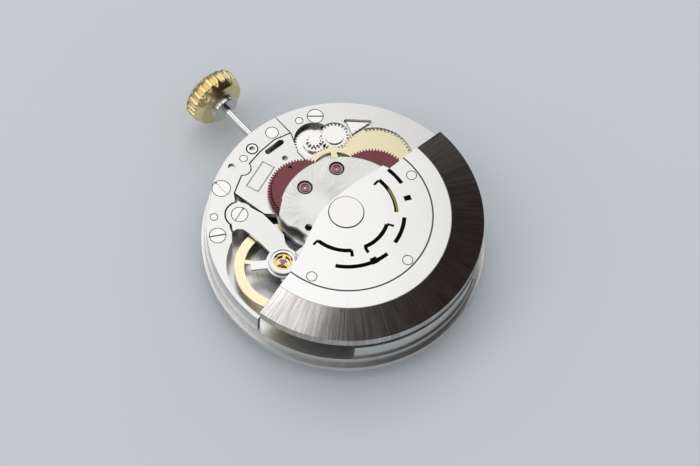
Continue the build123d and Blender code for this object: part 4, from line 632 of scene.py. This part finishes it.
def makeHairspring(values):
    # a flat strip on edge: its radius grows evenly with the angle, from the collet out to the stud
    share = np.linspace(0, 1, values["steps"])
    angle = math.radians(values["endAngle"]) - (1 - share) * values["turns"] * 2 * np.pi
    radius = values["inner"] + (values["outer"] - values["inner"]) * share
    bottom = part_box("hairspring")[0].z / mm + values["rise"]
    corners = []
    for side, level in ((-0.5, 0), (0.5, 0), (0.5, 1), (-0.5, 1)):
        reach = radius + side * values["thickness"]
        x = balanceCentre[0] + reach * np.cos(angle)
        y = balanceCentre[1] + reach * np.sin(angle)
        corners.append(np.stack([x, y, np.full_like(x, bottom + level * values["height"])], -1))
    points = np.stack(corners, 1) * mm
    last = (values["steps"] - 1) * len(corners)
    ends = [[3, 2, 1, 0], [last, last + 1, last + 2, last + 3]]
    faces = gridFaces(values["steps"], len(corners), True).tolist() + ends
    piece = addPiece(
        "hairspringStrip", points.reshape(-1, 3), faces, finishes["hairspring"],
        "movement_frame", ("hairspring",))
    smoothen(piece.data, values["sharpAngle"])


makeHairspring(spiral)

chamfers = {
    "widths": {
        "main_plate": 0.05, "barrel_bridge": 0.06, "side_bridge": 0.06, "lower_rotor_bridge": 0.05,
        "upper_rotor_bridge": 0.06, "balance_bridge": 0.06, "rotor_plate": 0.025, "rotor_weight": 0.05,
        "stud_holder": 0.03, "screws": 0.03, "click": 0.03, "train_bridge": 0.03, "steady_pins": 0.03,
    },
    "segments": 2, "sharpAngle": 32, "flatAngle": 0.05, "weld": 1e-6,  # the weld is in metres
}


def mergeFlats(work):
    bmesh.ops.remove_doubles(work, verts=work.verts, dist=chamfers["weld"])
    flat = math.radians(chamfers["flatAngle"])
    bmesh.ops.dissolve_limit(work, angle_limit=flat, verts=work.verts, edges=work.edges)


def makeChamfered(node, values):
    # a copy of the solid with its loose triangles joined, flat faces merged and its edges broken
    mesh = nodes[node].data.copy()
    mesh.name = node + "_chamfered"
    for name in ("custom_normal", "sharp_face", "sharp_edge"):
        if name in mesh.attributes:
            mesh.attributes.remove(mesh.attributes[name])
    rework(mesh, mergeFlats)
    piece = bpy.data.objects.new(mesh.name, mesh)
    scene.collection.objects.link(piece)
    smoothen(mesh, values["sharpAngle"])
    edge = piece.modifiers.new("brokenEdges", "BEVEL")
    edge.width = values["widths"][node] * mm
    edge.segments = values["segments"]
    edge.limit_method = "ANGLE"
    edge.angle_limit = math.radians(values["sharpAngle"])
    edge.use_clamp_overlap = True
    edge.harden_normals = True
    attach(piece, nodes[node]["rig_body"])
    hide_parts(node)


for node in chamfers["widths"]:
    makeChamfered(node, chamfers)

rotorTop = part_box("rotor_plate")[1].z / mm
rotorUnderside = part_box("rotor_plate")[0].z / mm
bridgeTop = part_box("barrel_bridge")[1].z / mm


def addBands(name, bands, closed, finish, body):
    # flat sheets that face upwards:
    # each joins two arcs round (x, y), at its radius less and plus half its width
    points, faces, first = [], [], 0
    for x, y, radius, width, level, angle in bands:
        for reach in (radius - width / 2, radius + width / 2):
            arc = [x + reach * np.cos(angle), y + reach * np.sin(angle), np.full_like(angle, level)]
            points.append(np.stack(arc, -1))
        faces.append(gridFaces(2, len(angle), closed) + first)
        first += 2 * len(angle)
    piece = addPiece(name, np.concatenate(points) * mm, np.concatenate(faces).tolist(), finish, body)
    rework(piece.data, faceUp)


gaps = {
    "bridge": 13.7, "width": 0.075, "above": 0.003, "steps": 48,
    "frame": (  # places as shares of the bridge circle, and the radius of each gap
        (-0.801, 0.419, 0.815), (0.161, 0.898, 0.815), (0.547, 0.657, 0.815), (0.840, -0.182, 0.815),
        (0.803, 0.146, 0.815), (-0.502, -0.774, 0.815), (-0.780, -0.508, 0.915), (0.835, -0.340, 0.815),
        (-0.849, 0.302, 0.38), (-0.867, -0.223, 0.38), (-0.634, -0.698, 0.38), (-0.900, 0.080, 0.65),
        (-0.889, -0.121, 0.6), (-0.889, -0.121, 0.54), (-0.531, -0.5445, 0.815), (0.412, -0.591, 0.815),
    ),
    "rotor": (  # places in millimetres, and the radius of each gap
        (0, 0, 1.74), (1.0855, 7.724, 0.5), (7.732, 1.032, 0.5), (3.048, -7.180, 0.5),
    ),
}


def makeGaps(name, places, size, top, values, finish, body):
    # painted shade: dark rings just above the gaps round screws, pins and rivets
    angle = np.linspace(0, 2 * np.pi, values["steps"], endpoint=False)
    level = top + values["above"]
    rings = [(x * size, y * size, radius, values["width"], level, angle) for x, y, radius in places]
    addBands(name, rings, True, finish, body)


gapShade = speckledFinish("gapShade", shadow)
makeGaps("screwGapShade", gaps["frame"], gaps["bridge"], bridgeTop, gaps, gapShade, "movement_frame")
makeGaps("rotorGapShade", gaps["rotor"], 1, rotorTop, gaps, gapShade, "rotor")

# painted shade: the rotor's slots are lined with dark sheets that stand for the deep shade seen through them
slotShadows = {
    "size": 8.5, "below": 0.006, "margin": 0.05, "steps": 24,
    "drop": 0.0005,  # each sheet lies this much lower than the one before, so that no two share a plane
    "arcs": (  # radius as a share of size, start angle, end angle, width
        (0.759, 80.0, 98.0, 0.4), (0.580, 50.0, 97.0, 0.4), (0.671, 14.0, 44.0, 0.4),
        (0.488, -17.0, 31.0, 0.4), (0.494, -82.0, -35.0, 0.4), (0.700, -52.0, 0.0, 0.4),
        (0.530, 95.5, 98.5, 0.7), (0.740, 62.0, 67.0, 0.7), (0.530, 30.0, 33.0, 0.7),
        (0.530, -18.0, -14.0, 0.7), (0.530, -37.0, -33.0, 0.7), (0.530, -84.5, -81.5, 0.7),
        (0.690, -18.0, -11.0, 0.7),
    ),
    "gilt": {  # a painted highlight of lit gilt brass, where it shows: radii, then cosine and sine of the angle, each with the ends of its edges
        "radii": ((4.93, 4.98), (5.2, 5.25)), "cosines": ((0.10, 0.16), (0.62, 0.66)), "sines": (0.5, 0.6),
        "colour": (0.62, 0.50, 0.18, 1),
    },
}


def slotFinish(name, gilt):
    # painted shade below the rotor's slots; below the first one a strip of gilt colour is a painted
    # highlight of lit brass
    finish = Finish(name)
    grain, dark, roughness = speckle(finish, shadow)
    x, y, z = finish.split(finish.place())
    radius = (x * x + y * y).root()
    # painted highlight: a strip of gilt colour on the painted shade
    strip = radius.between(*gilt["radii"]) * (x / radius).between(*gilt["cosines"])
    strip = strip * (y / radius).step(*gilt["sines"])
    return finish.surface(finish.blend(strip, dark, gilt["colour"]), roughness)


def makeSlotShadows(values):
    # thin dark sheets of painted shade below the rotor's slots, a margin wider than each slot
    sheets = []
    for n, (share, start, end, width) in enumerate(values["arcs"]):
        radius = share * values["size"]
        spread = math.degrees(values["margin"] / radius)
        angle = np.radians(np.linspace(start - spread, end + spread, values["steps"]))
        level = rotorUnderside - values["below"] - values["drop"] * n
        sheets.append((0, 0, radius, width + 2 * values["margin"], level, angle))
    addBands("slotShadowSheets", sheets, False, slotFinish("slotShade", values["gilt"]), "rotor")


makeSlotShadows(slotShadows)

numerals = {
    "count": 31, "radius": 12.45, "height": 1.15, "thickness": 0.012,
    "capShare": 0.72, "extrude": 0.01,  # a figure's height and half its thickness as the font makes them
}


def makeNumerals(values):
    # the figures 1 to 31 on the calendar ring, upright when they stand at 3 o'clock on the dial side:
    # a figure's x runs out along the radius and its y along the ring
    size = values["height"] / values["capShare"]
    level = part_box("date_ring")[0].z / mm
    vertices, faces, first = [], [], 0
    for n in range(values["count"]):
        text = bpy.data.curves.new("figure", "FONT")
        text.body = str(n + 1)
        text.align_x = "CENTER"
        text.align_y = "CENTER"
        text.extrude = values["extrude"]
        holder = bpy.data.objects.new("figure", text)
        scene.collection.objects.link(holder)
        bpy.context.view_layer.update()
        made = bpy.data.meshes.new_from_object(holder.evaluated_get(bpy.context.evaluated_depsgraph_get()))
        points = np.zeros(len(made.vertices) * 3)
        made.vertices.foreach_get("co", points)
        points = points.reshape(-1, 3)
        bpy.data.objects.remove(holder)
        turn = math.radians(n * 360 / values["count"])
        right = np.array([-math.cos(turn), -math.sin(turn), 0])
        up = np.array([-math.sin(turn), math.cos(turn), 0])
        placed = right * (values["radius"] + points[:, :1] * size) + up * points[:, 1:2] * size
        placed[:, 2] = level - points[:, 2] / (2 * values["extrude"]) * values["thickness"]
        vertices.append(placed * mm)
        faces += [[v + first for v in polygon.vertices] for polygon in made.polygons]
        first += len(points)
        bpy.data.meshes.remove(made)
    addPiece("dateFigures", np.concatenate(vertices), faces, speckledFinish("ink", ink), "date_ring")


makeNumerals(numerals)
print("date figures made")

studio = {
    "floorSize": 3000, "floorColour": (0.60, 0.63, 0.645, 1), "seenColour": (0.74, 0.775, 0.79, 1),
    "floorRoughness": 0.75, "floorSpecular": 0.1,
    "pale": (0.93, 0.95, 1.0, 1), "dim": (0.33, 0.335, 0.35, 1), "dark": (0.030, 0.017, 0.013, 1),
    "world": 0.55,  # strength
    "darkTowards": (0.45, 0.62, 0.64), "darkFrom": (0.35, 0.9),  # cosines from which the dark side sets in
    "lamps": (  # direction from the movement, distance, width, height, radiance
        ((-0.405, 0.20, 0.89), 420, 270, 270, 1.12),
        ((-0.17, -0.09, 0.98), 430, 125, 125, 0.9),
        ((-0.33, -0.48, 0.81), 460, 200, 150, 1.3),
        ((-0.32, -0.80, 0.50), 500, 260, 160, 1.2),
        ((-0.25, 0.93, 0.27), 500, 300, 110, 1.2),
        ((0.75, -0.8, 0.7), 520, 180, 180, 0.5),
    ),
}


def addFloor(values):
    # a square below the part's lowest point
    half = values["floorSize"] / 2 * mm
    level = cadBox[0][2]
    mesh = bpy.data.meshes.new("floor")
    corners = [(-half, -half, level), (half, -half, level), (half, half, level), (-half, half, level)]
    mesh.from_pydata(corners, [], [(0, 1, 2, 3)])
    paint = Finish("floorPaint")
    seen = paint.node("ShaderNodeLightPath", {}, {}, "Is Camera Ray")
    colour = paint.blend(seen, values["floorColour"], values["seenColour"])
    sockets = {"Specular IOR Level": values["floorSpecular"]}
    mesh.materials.append(paint.surface(colour, values["floorRoughness"], sockets=sockets))
    floor = bpy.data.objects.new("floor", mesh)
    scene.collection.objects.link(floor)


def addLamps(values):
    # an area lamp's power is its radiance times pi times its area
    for n, (direction, distance, width, height, radiance) in enumerate(values["lamps"]):
        lamp = bpy.data.lights.new(f"softbox{n}", "AREA")
        lamp.shape = "RECTANGLE"
        lamp.size, lamp.size_y = width * mm, height * mm
        lamp.energy = radiance * math.pi * width * height * mm * mm
        holder = bpy.data.objects.new(lamp.name, lamp)
        out = Vector(direction).normalized()
        holder.location = out * distance * mm
        holder.rotation_mode = "QUATERNION"
        holder.rotation_quaternion = out.to_track_quat("Z", "Y")
        holder.visible_camera = False
        scene.collection.objects.link(holder)


def addWorld(values):
    # the room is pale for soft light, but one side of it stays dark in what the metal mirrors
    room = Finish("studio", "worlds")
    x, y, z = room.split(room.node("ShaderNodeTexCoord", {}, {}, "Generated"))
    towards = Vector(values["darkTowards"]).normalized()
    turned = x * towards.x + y * towards.y + z * towards.z
    mirrored = room.node("ShaderNodeLightPath", {}, {}, "Is Glossy Ray")
    seenInMetal = room.blend(turned.step(*values["darkFrom"]), values["dim"], values["dark"])
    colour = room.blend(mirrored, values["pale"], seenInMetal)
    light = room.node("ShaderNodeBackground", {}, {0: colour, 1: values["world"]})
    scene.world = room.close(light, "ShaderNodeOutputWorld")


addFloor(studio)
addLamps(studio)
addWorld(studio)
print("studio lit")
